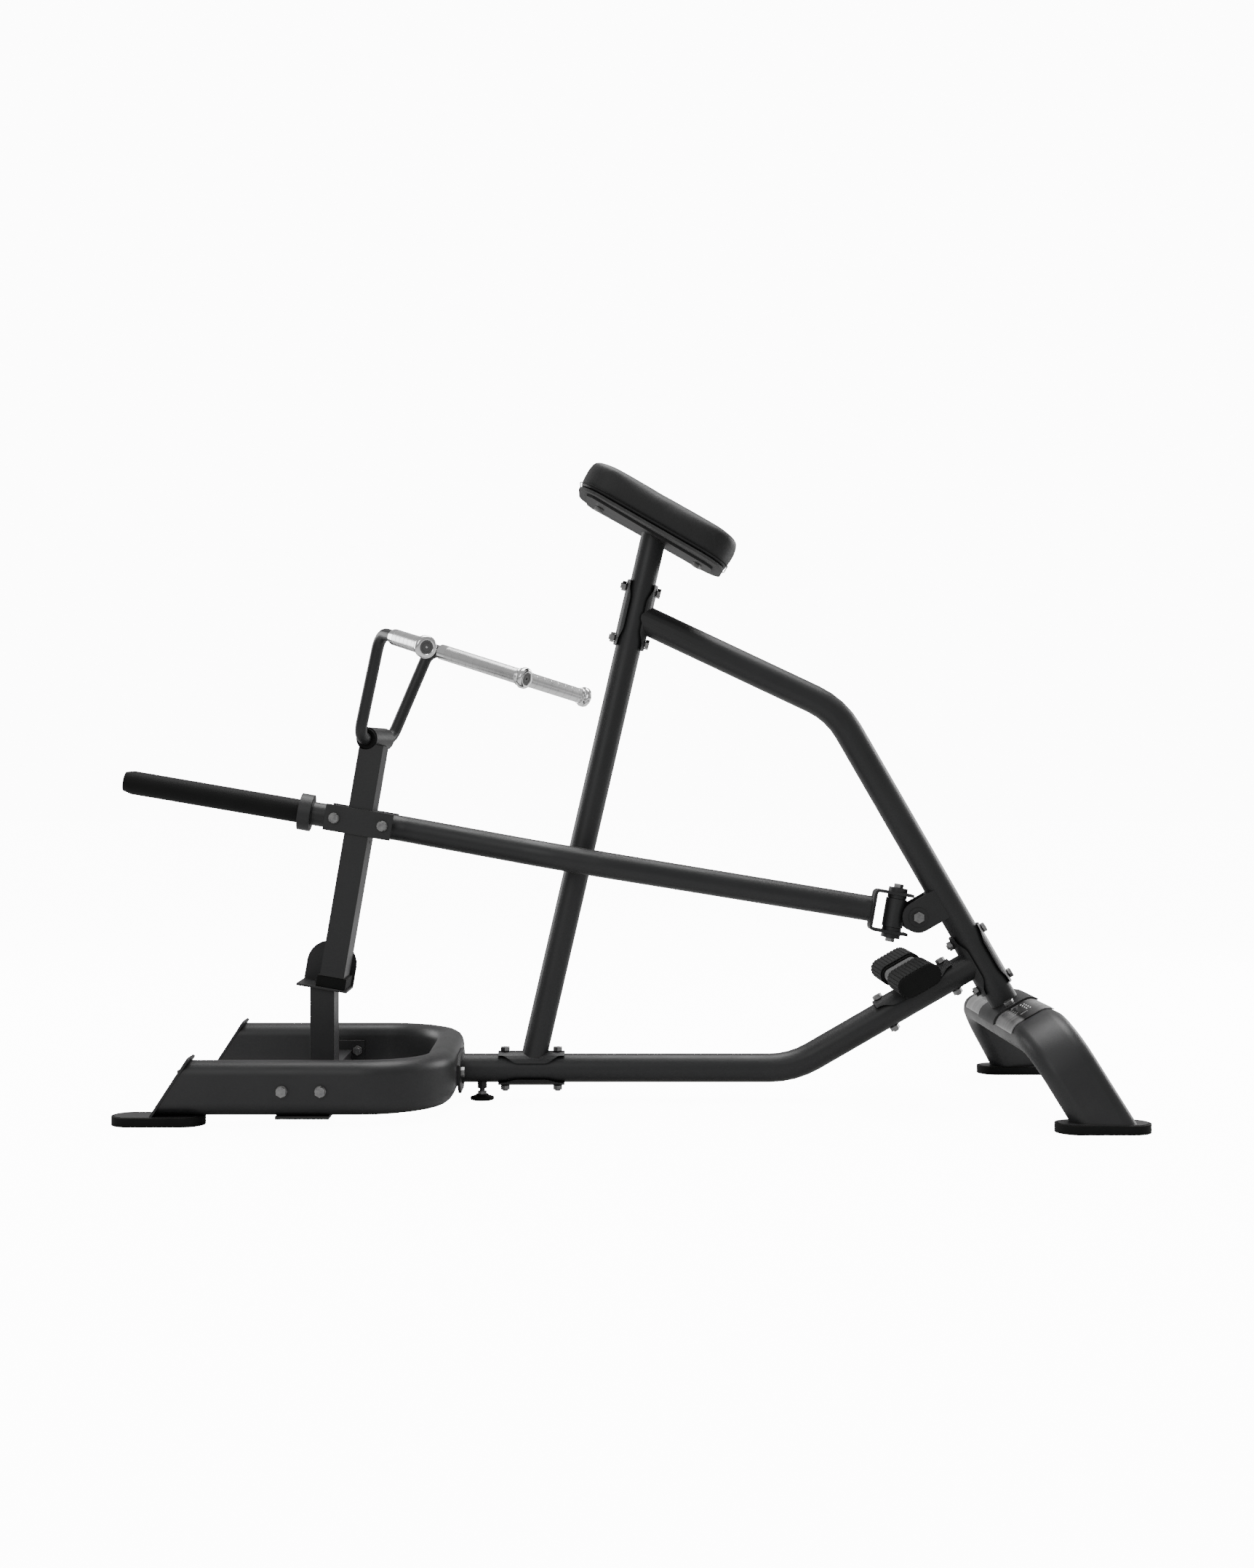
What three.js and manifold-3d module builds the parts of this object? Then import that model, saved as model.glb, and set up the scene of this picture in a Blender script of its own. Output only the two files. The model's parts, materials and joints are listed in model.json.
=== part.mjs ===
// Chest-supported lever machine with a plate-loaded lever arm, for gym use.
// Millimetres, +Z up, +X toward the rear (the end with the arched foot), the
// lever's loading horn pointing toward -X, the floor at Z = 0.
//
// It is built the way a welding shop builds it: bent tube weldments with saddle
// plates on their ends, bolted through the next tube into a backing plate.
import * as THREE from "three";
import { mergeVertices } from "three/addons/utils/BufferGeometryUtils.js";
import Module from "manifold-3d";

const wasm = await Module();
wasm.setup();

// ---------------------------------------------------------------- driving sizes
const GAP = 0.3; // between faces that touch
const EPS = 1; // how far welded pieces run into each other
const FAR = 3000; // longer than the machine, for cutting blocks

// floor feet
const FOOT_LENGTH = 183, FOOT_WIDTH = 80, FOOT_HEIGHT = 17.5;
const FOOT_RIM = 5, FOOT_POCKET = 4; // raised rim and the pocket behind it
const FOOT_PLATE = 4.6; // steel plate welded under each leg
const FOOT_PLATE_PLAY = 0.5; // between its edge and the rim

// fasteners
const BOLT_D = 12, BOLT_HOLE = 13, HEX = 18.5, HEAD_T = 8, NUT_T = 9, BOLT_TAIL = 3;
const PLAIN_HEX = 19, WASHER_T = 2;

// flat-oval tube of both bases
const BASE_TALL = 106, BASE_WIDE = 60, BASE_ROUND = 27, BASE_WALL = 3;

// lever: hinge pin in the clevis on the rear beam
const PIN_X = 668, PIN_Z = 384, PIN_D = 16;
const CLEVIS_T = 6, CLEVIS_GAP = 42, CLEVIS_R = 33, CLEVIS_RING = 20, CLEVIS_RING_T = 3, CLEVIS_SHELL_T = 4;
const TILT = 9.7; // lever below horizontal toward the rear, at rest
const YAW_BACK = 46.6; // from the pin to the swing bolt
const YAW_D = 44, YAW_LONG = 60, YAW_BOLT = 14, YAW_BOSS_D = 40, YAW_BOSS_T = 9;
const CARRIER_BUSH_D = 38, CARRIER_WEB = 28, CARRIER_PLAY = 1;
const YOKE_T = 6, YOKE_TALL = 88, YOKE_WIDE = 46, YOKE_REACH = 49.5, YOKE_TAIL = 32, YOKE_BEND = 10;
// lever: bowed round the post on the -Y side
const BOW = 88, BOW_AT = 728, BOW_FLAT = 70, BOW_BEND = 260, BOW_END_BEND = 90, BOW_STRAIGHT = 40;
const UPRIGHT_BACK = 1181.6; // from the pin to the upright's axis
const UPRIGHT_X = 50, UPRIGHT_Y = 100, UPRIGHT_WALL = 3, UPRIGHT_DOWN = 326, UPRIGHT_UP = 152;
const UPRIGHT_HOLE = 8, UPRIGHT_HOLE_BELOW = 12; // in its rear face, under the bracket
const BUMPER_X = 62, BUMPER_Y = 98, BUMPER_T = 23;
const BRACKET_LONG = 141, BRACKET_TALL = 55, BRACKET_T = 5, BRACKET_WEB = 6, BRACKET_PITCH = 101;
const HORN_D = 50, HORN_WALL = 4, HORN_OUT = 503; // horn tip from the upright's axis
const COLLAR_D = 78, COLLAR_T = 26, COLLAR_OUT = 104;
const SLEEVE_WALL = 3.2, SLEEVE_IN = 4, HORN_CAP = 18, HORN_CAP_TAPER = 4.5;

// cross member between the front legs, its rest post under the upright's bumper
const REST_AHEAD = 17.8; // rest post ahead of the bumper's middle
const REST_POST_X = 50, REST_POST_Y = 75, REST_WALL = 3;
const REST_PLATE = 5, REST_LONG = 106, REST_DEEP = 104, REST_BACK_TALL = 88, REST_BACK_ROUND = 48;
const CROSS_PLATE_TOP = 90, CROSS_PLATE = 6, CROSS_SOLE_LIP = 20;
const CROSS_TUBE_LONG = 50, CROSS_TUBE_TALL = 50, CROSS_WALL = 3;
const CROSS_BOLT_OUT = 12.5, CROSS_BOLT_EDGE = 15, CROSS_BOLT_Z = 68; // clear of the tube, plate past the bolts
const CROSS_BOLT_PITCH = CROSS_TUBE_LONG + 2 * CROSS_BOLT_OUT;
const CROSS_PLATE_LONG = CROSS_BOLT_PITCH + 2 * CROSS_BOLT_EDGE;
// front base, placed from the cross member
const FRONT_WIDTH = 641; // over both legs
const FRONT_BEND = 145; // centre-line radius
const FACE_BEHIND = 283.5; // front face of the bend behind the cross member
const LEG_TOP_AHEAD = 219.5, LEG_TOE_AHEAD = 288.5; // slanted cut of the legs
const FOOT_BEHIND_TOE = 7; // middle of a front foot behind the leg's toe
const END_PLATE = 5, END_PLATE_PROUD = 7, END_PLATE_SIDE = 1.5, END_PLATE_ROUND = 8;

// main tubes
const RAIL_D = 60, POST_D = 54, BEAM_D = 60, LEVER_D = 54, TUBE_WALL = 3;
const RAIL_Z = 66.4; // axis of the floor rail
const RAIL_BEND_X = 408, RAIL_BEND = 180;
const LEAN = 30; // rear beam off vertical, and the slope of the rail's rear end
const JOINT_X = 802, JOINT_Z = 294; // rail axis meets the rear beam axis
const BEAM_DOWN = 107.4; // from that joint down to the crown of the rear arch
const BEAM_UP = 605; // from that joint up to the beam's bend
const BEAM_BEND = 165;
const POST_LEAN = 12.96, POST_FOOT_X = -132.4; // axis where it meets the rail's top
const POST_JOINT_Z = 1016; // height at which the rear beam meets the post
const POST_TOP_Z = 1182; // post axis at the pad plate

// saddle plates of the bolted joints
const SADDLE_LONG = 139, SADDLE_T = 5.5, SADDLE_PITCH = 110, SADDLE_TONGUE = 8, SADDLE_SWOOP = 33;
const SADDLE_LIP = 0.95; // height of the tongues' edge, as a share of the tube's radius
const SADDLE_LOW = 0.6, POST_SADDLE_LOW = 0.45, BACKING_LOW = 0.7; // and of the edge between the bolts

// shield plate at the rail's front end
const SHIELD_T = 6, SHIELD_TOP = 101.5, SHIELD_BOTTOM = 20, SHIELD_WIDE = 158, SHIELD_BOLT_Y = 60;
const SHIELD_BELOW = 22, SHIELD_ABOVE = 16, SHIELD_FOOT = 0.55, SHIELD_HEAD = 0.72; // its corners
// screw foot under the rail
const LEVELLER_BEHIND = 47; // behind the shield plate's face
const LEVELLER_PAD = 50, LEVELLER_PAD_T = 12, LEVELLER_STUD = 12, LEVELLER_NUT_T = 12, LEVELLER_NUT = 22;
const LEVELLER_RIM = 6.6, LEVELLER_NECK = 26, LEVELLER_TOP = 6;

// rear arch, in the plane of the rear beam
const ARCH_BEND = 95, ARCH_SPLAY = 14, ARCH_FOOT_Y = 373;
const STEP_T = 2.5, STEP_FROM = 78, STEP_TO = 230;
const CROWN_LIP = 10; // how far the step and crown plates reach down the tube's sides
const CROWN_T = 6, CROWN_HALF = 76, CROWN_BOLT_Y = 56;

// chest pad
const PAD_LONG = 350, PAD_WIDE = 220, PAD_T = 66, PAD_SLOPE = 29.8, PAD_SHIFT = -10;
const PAD_CORNER = 62, BOARD_T = 6, BOARD_INSET = 3, PAD_CROWN = 8, PAD_CROWN_IN = 10;
const PAD_PLATE_T = 5, PAD_PLATE_LONG = 300, PAD_PLATE_WIDE = 160, PAD_PLATE_NARROW = 100;
const PAD_PLATE_CHAMFER = 14;
const PAD_BOLT_PITCH = 236, PAD_BOLT_IN = 8, PAD_BOLT_ROOM = 2;

// foot bar on the rail's slope
const BAR_BACK = 150; // from the rear joint down the slope to the foot bar
const BAR_LIFT = 57; // its centre above the rail's axis
const BAR_CORE_LONG = 78, BAR_CORE_T = 30, BAR_SLEEVE_LONG = 94, BAR_SLEEVE_T = 46;
const BAR_SLEEVE_W = 145, BAR_SLEEVE_GAP = 93, BAR_SLEEVE_END = 6, BAR_RIBS = 30, BAR_RIB = 1.6;
const BAR_PLATE_LONG = 181, BAR_PLATE_PITCH = 152, BAR_PLATE_LIP = 0.8, BAR_PLATE_LOW = 0.4;
const BAR_WEB_LONG = 48, BAR_WEB_WIDE = 40;

// handle
const HANDLE_D = 25, HUB_D = 48, HUB_LONG = 92, HANDLE_YAW = 16;
const HANDLE_HALF = 88; // bottom corners from the hub's centre, along the hub
const HANDLE_BEND = 34;
const HANDLE_RISE = 227.4; // grip plane above the hub's centre
const GRIP_FALL = 0.3175, GRIP_CANT = 0.0435; // slopes of the grip plane toward +X and +Y
const GRIP_D = 33, GRIP_CAP_D = 45, GRIP_CAP_T = 22, GRIP_DISC = 26, GRIP_PLAY = 0.5;
const GRIP_CLEAR = 6; // from the far corner's bend to the middle grip
const GRIP_SHOULDER = 44; // bare bar past the near corner's bend
// corners and cap faces of the handle in plan, from the hub's centre
const NEAR_TOP = [24, -110], FAR_TOP = [106, 110], FAR_TURN = [264, 167];
const NEAR_CAP = [137, -319], MIDDLE_CAP = [320, -37], FAR_CAP = [441, 310];

// ---------------------------------------------------------------- small helpers
const V = (x, y, z) => new THREE.Vector3(x, y, z);
const P = (x, y) => new THREE.Vector2(x, y);
const rad = THREE.MathUtils.degToRad;
const flat = (r, n) => r / Math.cos(Math.PI / n); // radius whose flats clear r
const RINGS = 20, SMALL = 8, COPE = 40; // sides of round sections, of bolt holes and of copes
const HOLLOW = 10; // sides of a tube's inner section

// a closed geometry as a solid, and a solid as a geometry
function solid(geometry) {
  const bare = geometry.clone();
  for (const name of ["normal", "uv"]) if (bare.getAttribute(name)) bare.deleteAttribute(name);
  const merged = mergeVertices(bare, 1e-4);
  return new wasm.Manifold(new wasm.Mesh({
    numProp: 3,
    vertProperties: new Float32Array(merged.attributes.position.array),
    triVerts: new Uint32Array(merged.index.array),
  }));
}
function geometryOf(body) {
  const m = body.asOriginal().simplify(0.01).getMesh(); // joins the flat facets that cuts leave
  const g = new THREE.BufferGeometry();
  g.setAttribute("position", new THREE.BufferAttribute(new Float32Array(m.vertProperties), 3));
  g.setIndex(new THREE.BufferAttribute(new Uint32Array(m.triVerts), 1));
  const loose = g.toNonIndexed();
  loose.computeVertexNormals();
  return loose;
}
const join = (first, ...rest) => rest.reduce((a, b) => a.add(b), first);
const cut = (first, ...rest) => rest.reduce((a, b) => a.subtract(b), first);

// a frame: its own x, y and z in the machine's frame
function frame(origin, x, y, z) {
  return new THREE.Matrix4().makeBasis(x, y, z).setPosition(origin);
}
// a frame in the XZ plane: local x at the given angle from +X toward +Z
function slanted(origin, degrees) {
  const c = Math.cos(rad(degrees)), s = Math.sin(rad(degrees));
  return frame(origin, V(c, 0, s), V(0, 1, 0), V(-s, 0, c));
}
const in3 = (m, x, y, z) => V(x, y, z).applyMatrix4(m);
const way = (m, x, y, z) => V(x, y, z).transformDirection(m);
const along = (p, direction, d) => p.clone().addScaledVector(direction, d);
const W = new THREE.Matrix4(); // the machine's own frame
const up = V(0, 0, 1), side = V(0, 1, 0);

function rod(p, q, r, n = RINGS, r2 = r) {
  const axis = q.clone().sub(p);
  const g = new THREE.CylinderGeometry(r2, r, axis.length(), n);
  g.applyQuaternion(new THREE.Quaternion().setFromUnitVectors(side, axis.normalize()));
  g.translate((p.x + q.x) / 2, (p.y + q.y) / 2, (p.z + q.z) / 2);
  return solid(g);
}
const bore = (p, q, r, n = SMALL) => rod(p, q, flat(r, n), n);
// a rod and a bore along one axis of a frame, from a to b
const AXES = { x: (m, d) => in3(m, d, 0, 0), y: (m, d) => in3(m, 0, d, 0), z: (m, d) => in3(m, 0, 0, d) };
const rodOn = (m, axis, a, b, r, n, r2) => rod(AXES[axis](m, a), AXES[axis](m, b), r, n, r2);
const boreOn = (m, axis, a, b, r, n) => bore(AXES[axis](m, a), AXES[axis](m, b), r, n);
const movedTo = (m, x, y, z) => m.clone().setPosition(in3(m, x, y, z));

function block(m, x0, x1, y0, y1, z0, z1) {
  const g = new THREE.BoxGeometry(x1 - x0, y1 - y0, z1 - z0);
  g.translate((x0 + x1) / 2, (y0 + y1) / 2, (z0 + z1) / 2);
  return solid(g.applyMatrix4(m));
}
function extruded(outline, depth) {
  return new THREE.ExtrudeGeometry(new THREE.Shape(outline), { depth, bevelEnabled: false });
}
// an outline in a frame's x,z plane, thick along its y from y0 to y1
function plate(m, outline, y0, y1) {
  const g = extruded(outline, y1 - y0);
  g.rotateX(Math.PI / 2); // outline y to z, depth toward -y
  g.translate(0, y1, 0);
  return solid(g.applyMatrix4(m));
}
// an outline in a frame's x,y plane, thick along its z
function slab(m, outline, z0, z1) {
  const g = extruded(outline, z1 - z0);
  g.translate(0, 0, z0);
  return solid(g.applyMatrix4(m));
}
function circle(r, n = RINGS) {
  const turn = (i) => ((i + 0.5) * 2 * Math.PI) / n;
  return Array.from({ length: n }, (_, i) => P(r * Math.cos(turn(i)), r * Math.sin(turn(i))));
}
// a rectangle with rounded corners, each corner in n steps
function rounded(w, h, r, n = 5) {
  const k = Math.min(r, w / 2 - 0.01, h / 2 - 0.01), x = w / 2 - k, y = h / 2 - k, out = [];
  for (const [cx, cy, a] of [[x, y, 0], [-x, y, 90], [-x, -y, 180], [x, -y, 270]])
    for (let i = 0; i <= n; i++) {
      const turn = rad(a + (90 * i) / n);
      out.push(P(cx + k * Math.cos(turn), cy + k * Math.sin(turn)));
    }
  return out;
}
const stadium = (w, h, n = 8) => rounded(w, h, Math.min(w, h) / 2, n);

// a route of straight runs and bends, sampled at its own stations only
class Route extends THREE.Curve {
  constructor(points, radius, steps = 8) {
    super();
    this.stations = [];
    const put = (p, t) => this.stations.push({ p, t });
    let from = points[0];
    for (let i = 1; i < points.length - 1; i++) {
      const a = points[i].clone().sub(points[i - 1]).normalize();
      const b = points[i + 1].clone().sub(points[i]).normalize();
      const turn = a.angleTo(b);
      const r = Array.isArray(radius) ? radius[i - 1] : radius;
      const reach = r * Math.tan(turn / 2);
      put(from.clone(), a.clone());
      const inward = along(b, a, -a.dot(b)).normalize();
      const centre = along(along(points[i], a, -reach), inward, r);
      const n = Math.max(2, Math.ceil((steps * turn) / (Math.PI / 2)));
      for (let k = 0; k < n; k++) {
        const w = (turn * k) / n, c = Math.cos(w), s = Math.sin(w);
        put(along(along(centre, inward, -r * c), a, r * s), along(a.clone().multiplyScalar(c), inward, s));
      }
      from = along(points[i], b, reach);
    }
    const last = points[points.length - 1];
    const b = last.clone().sub(points[points.length - 2]).normalize();
    put(from.clone(), b.clone());
    put(last.clone(), b.clone());
  }
  get steps() { return this.stations.length - 1; }
  getPoint(t, target = new THREE.Vector3()) { return target.copy(this.stations[Math.round(t * this.steps)].p); }
  getPointAt(t, target) { return this.getPoint(t, target); }
  getTangent(t, target = new THREE.Vector3()) { return target.copy(this.stations[Math.round(t * this.steps)].t); }
  getTangentAt(t, target) { return this.getTangent(t, target); }
}
// a section swept along a route in a frame, hollow when an inner outline is given
function swept(m, route, outer, inner) {
  const shape = new THREE.Shape(outer);
  if (inner) shape.holes.push(new THREE.Path(inner));
  const g = new THREE.ExtrudeGeometry(shape, { steps: route.steps, extrudePath: route, bevelEnabled: false });
  return solid(g.applyMatrix4(m));
}
const pipe = (m, route, d, wall, n = RINGS) =>
  swept(m, route, circle(d / 2, n), wall ? circle(d / 2 - wall, HOLLOW) : null);
const oval = (grow = 0, n = 4) => rounded(BASE_TALL + 2 * grow, BASE_WIDE + 2 * grow, BASE_ROUND + grow, n);

// a hex bolt: head on the near side, nut on the far side, its axis from p along direction
function bolt(p, direction, grip, sizes = {}) {
  const { d, af, head, nut, washer, tail } = {
    d: BOLT_D, af: HEX, head: HEAD_T, nut: NUT_T, washer: 0, tail: BOLT_TAIL, ...sizes,
  };
  const a = direction.clone().normalize(), at = (s) => along(p, a, s);
  const under = -washer - GAP, corners = af / Math.sqrt(3);
  let b = rod(at(under - head), at(under + 0.01), corners, 6);
  b = join(b, rod(at(under - 0.5), at(grip + GAP + nut + tail), d / 2, SMALL));
  if (washer) b = join(b, rod(at(under - 0.01), at(-GAP), af * 0.6, 12));
  if (nut) b = join(b, rod(at(grip + GAP), at(grip + GAP + nut), corners, 6));
  return b;
}

// the outer radius of a saddle on a tube
const outside = (tube) => tube / 2 + GAP + SADDLE_T;
// a saddle plate wrapped on a tube: frame x along the tube, frame z out of it
function saddle(m, tube, sizes = {}) {
  const { long, pitch, lip, low } = {
    long: SADDLE_LONG, pitch: SADDLE_PITCH, lip: SADDLE_LIP, low: SADDLE_LOW, ...sizes,
  };
  const r = tube / 2, n = 28, over = outside(tube) + 4;
  const ring = (q, reach) => rodOn(m, "x", -reach, reach, flat(q, n), n);
  const half = long / 2, end = lip * r, middle = low * r, steps = 5, from = half - SADDLE_TONGUE;
  const ease = (k) => P(from - SADDLE_SWOOP * k, end + ((middle - end) * (1 - Math.cos(Math.PI * k))) / 2);
  const curve = Array.from({ length: steps + 1 }, (_, i) => ease(i / steps));
  const outline = [P(half, over), P(-half, over), P(-half, end), ...curve.map((p) => P(-p.x, p.y)),
    ...curve.reverse(), P(half, end)];
  const shell = ring(outside(tube), half + 1).subtract(ring(r + GAP, half + 2));
  const cutAway = [-1, 1].map((k) =>
    bore(in3(m, (k * pitch) / 2, 0, 0), in3(m, (k * pitch) / 2, 0, over), BOLT_HOLE / 2));
  return cut(shell.intersect(plate(m, outline, -over, over)), ...cutAway);
}
const backing = (m, tube) => saddle(m, tube, { low: BACKING_LOW });
// the cylinder that copes a tube's end to a saddle's outer face
const cope = (m, axis, tube) => boreOn(m, axis, -FAR, FAR, outside(tube) - EPS, COPE);

// ---------------------------------------------------------------- materials
const finish = (color, roughness, metalness) => new THREE.MeshStandardMaterial({ color, roughness, metalness });
const charcoal = finish(0x2f2f30, 0.5, 0.3), rubber = finish(0x141414, 0.85, 0);
const zinc = finish(0x9a9a9a, 0.35, 0.9), chrome = finish(0xd8d8d8, 0.15, 1), satin = finish(0xb0b0b0, 0.35, 1);
const vinyl = finish(0x262626, 0.6, 0), board = finish(0x3a3a3a, 0.7, 0);

const machine = new THREE.Group();
const fixed = new THREE.Group(), carrier = new THREE.Group(), arm = new THREE.Group(), bar = new THREE.Group();
machine.add(fixed, carrier, arm, bar);
function add(group, name, body, material) {
  const m = new THREE.Mesh(geometryOf(body), material);
  m.name = name;
  group.add(m);
}
const SIDES = [[-1, "near"], [1, "far"]];

// ---------------------------------------------------------------- axes and planes
const footTop = FOOT_HEIGHT - FOOT_POCKET + GAP; // underside of the steel foot plates
const legFloor = footTop + FOOT_PLATE; // top of the steel foot plates
// lever: x along it toward the rear, z square to it, at the hinge pin
const pinM = slanted(V(PIN_X, 0, PIN_Z), -TILT);
// the plane on which the lever's bumper comes to rest
const restM = movedTo(pinM, -UPRIGHT_BACK, 0, -UPRIGHT_DOWN - GAP - BUMPER_T - GAP);
const crossX = in3(restM, 0, 0, 0).x - REST_AHEAD;
const frontFace = crossX + FACE_BEHIND;
// rear beam: x square to it (up the slope of the rail), z up along it
const joint = V(JOINT_X, 0, JOINT_Z);
const rear = slanted(joint, LEAN);
const crownM = movedTo(rear, 0, 0, -BEAM_DOWN);
const crown = in3(crownM, 0, 0, 0);
const beamBend = in3(rear, 0, 0, BEAM_UP);
// rail: x along it, z up
const railM = new THREE.Matrix4().setPosition(V(0, 0, RAIL_Z));
// post: z up along it
const postFoot = V(POST_FOOT_X - Math.tan(rad(POST_LEAN)) * (RAIL_D / 2), 0, RAIL_Z);
const postM = slanted(postFoot, -POST_LEAN);
const postUp = way(postM, 0, 0, 1), postRear = way(postM, 1, 0, 0);
const postAt = (z) => along(postFoot, postUp, (z - RAIL_Z) / postUp.z);
const postJoint = postAt(POST_JOINT_Z);
const padM = slanted(postAt(POST_TOP_Z), -PAD_SLOPE); // x down the pad's slope, z out of its face
// foot bar: x up the rail's slope, z square to the rail
const barBase = movedTo(rear, -BAR_BACK, 0, 0);

// ---------------------------------------------------------------- feet and foot plates
// an oval rubber foot with a raised rim, its pocket taking the steel foot plate
function foot(x, y) {
  const m = new THREE.Matrix4().setPosition(V(x, y, 0));
  const pocket = stadium(FOOT_LENGTH - 2 * FOOT_RIM, FOOT_WIDTH - 2 * FOOT_RIM);
  return slab(m, stadium(FOOT_LENGTH, FOOT_WIDTH), 0, FOOT_HEIGHT)
    .subtract(slab(m, pocket, FOOT_HEIGHT - FOOT_POCKET, FOOT_HEIGHT + EPS));
}
function footPlate(x, y) {
  const trim = 2 * (FOOT_RIM + FOOT_PLATE_PLAY);
  const m = new THREE.Matrix4().setPosition(V(x, y, 0));
  return slab(m, stadium(FOOT_LENGTH - trim, FOOT_WIDTH - trim), footTop, legFloor);
}

// ---------------------------------------------------------------- front base
const legY = (FRONT_WIDTH - BASE_WIDE) / 2; // middle of each front leg
const toeX = crossX - LEG_TOE_AHEAD;
function frontBase() {
  const zc = legFloor + BASE_TALL / 2, bendX = frontFace - BASE_WIDE / 2, start = toeX - BASE_TALL;
  const corners = [V(start, -legY, zc), V(bendX, -legY, zc), V(bendX, legY, zc), V(start, legY, zc)];
  const slope = (Math.atan2(BASE_TALL, LEG_TOE_AHEAD - LEG_TOP_AHEAD) * 180) / Math.PI;
  const run = BASE_TALL / Math.sin(rad(slope));
  const cutM = slanted(V(toeX, 0, legFloor), slope); // x up along the slanted cut, z off the tube
  let base = swept(W, new Route(corners, FRONT_BEND, 7), oval(), oval(-BASE_WALL, 2))
    .subtract(block(cutM, -2 * run, 2 * run, -FRONT_WIDTH, FRONT_WIDTH, 0, FAR));
  const end = rounded(2 * (run + END_PLATE_PROUD), BASE_WIDE + 2 * END_PLATE_SIDE, END_PLATE_ROUND);
  for (const [k] of SIDES) {
    const endM = cutM.clone().setPosition(V(toeX, k * legY, legFloor));
    base = join(base, slab(endM, end.map((p) => P(Math.max(p.x, -2), p.y)), -EPS / 2, END_PLATE));
    base = join(base, footPlate(toeX + FOOT_BEHIND_TOE, k * legY));
  }
  base = base.subtract(block(W, -FAR, FAR, -FAR, FAR, -FAR, footTop));
  for (const x of crossBoltXs()) base = base.subtract(crossBoltHole(x, FRONT_WIDTH));
  for (const [k] of SIDES) {
    const holeM = movedTo(railM, 0, k * SHIELD_BOLT_Y, 0);
    base = base.subtract(boreOn(holeM, "x", frontFace - BASE_WIDE - EPS, frontFace + EPS, BOLT_HOLE / 2));
  }
  add(fixed, "front_base", base, charcoal);
  for (const [k, name] of SIDES)
    add(fixed, "front_foot_" + name, foot(toeX + FOOT_BEHIND_TOE, k * legY), rubber);
}
function crossBoltXs() {
  return [-1, 1].map((k) => crossX + (k * CROSS_BOLT_PITCH) / 2);
}
function crossBoltHole(x, reach) {
  return bore(V(x, -reach, CROSS_BOLT_Z), V(x, reach, CROSS_BOLT_Z), BOLT_HOLE / 2);
}

// cross member with its rest post, bolted between the legs
function crossMember() {
  const inner = legY - BASE_WIDE / 2 - GAP, sole = legFloor - GAP, top = sole + CROSS_TUBE_TALL;
  const box = (long, y0, y1, z0, z1) => block(W, crossX - long / 2, crossX + long / 2, y0, y1, z0, z1);
  const webs = inner - CROSS_PLATE / 2, lip = legY + CROSS_SOLE_LIP;
  let cross = join(box(CROSS_TUBE_LONG, -webs, webs, sole - EPS, top),
    box(CROSS_PLATE_LONG, -lip, lip, sole - CROSS_PLATE, sole),
    box(CROSS_PLATE_LONG, -inner, -inner + CROSS_PLATE, sole - EPS, CROSS_PLATE_TOP),
    box(CROSS_PLATE_LONG, inner - CROSS_PLATE, inner, sole - EPS, CROSS_PLATE_TOP));
  const shelfUnder = movedTo(restM, 0, 0, -REST_PLATE - GAP);
  const post = box(REST_POST_X, -REST_POST_Y / 2, REST_POST_Y / 2, top - EPS, PIN_Z)
    .subtract(block(shelfUnder, -FAR, FAR, -FAR, FAR, 0, FAR));
  const hollowY = REST_POST_Y / 2 - REST_WALL;
  cross = cut(join(cross, post),
    box(CROSS_TUBE_LONG - 2 * CROSS_WALL, -inner - EPS, inner + EPS, sole + CROSS_WALL, top - CROSS_WALL),
    box(REST_POST_X - 2 * REST_WALL, -hollowY, hollowY, sole + CROSS_TUBE_TALL / 2, FAR),
    ...crossBoltXs().map((x) => crossBoltHole(x, inner + EPS)));
  add(fixed, "cross_member", cross, charcoal);
  let i = 1;
  for (const [k] of SIDES)
    for (const x of crossBoltXs()) {
      const head = V(x, (k * FRONT_WIDTH) / 2, CROSS_BOLT_Z), sizes = { washer: WASHER_T, af: PLAIN_HEX };
      add(fixed, "cross_bolt_" + i++, bolt(head, V(0, -k, 0), BASE_WIDE + GAP + CROSS_PLATE, sizes), zinc);
    }
}

// rest bracket: a sloping shelf over the rest post, with an upright far-side guide plate
function restBracket() {
  const middle = (crossX - in3(restM, 0, 0, 0).x) / Math.cos(rad(TILT)) + EPS;
  const m = movedTo(restM, middle, 0, 0);
  const half = REST_LONG / 2, deep = REST_DEEP / 2, r = Math.min(REST_BACK_ROUND, half - EPS);
  const guide = [P(-half, -EPS), P(half, -EPS)];
  for (const [k, a] of [[1, 0], [-1, 90]])
    for (let turn = a; turn <= a + 90; turn += 15)
      guide.push(P(k * (half - r) + r * Math.cos(rad(turn)), REST_BACK_TALL - r + r * Math.sin(rad(turn))));
  const shelf = block(m, -half, half, -deep, deep + REST_PLATE, -REST_PLATE, 0);
  add(fixed, "rest_bracket", join(shelf, plate(m, guide, deep, deep + REST_PLATE)), charcoal);
}

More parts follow.
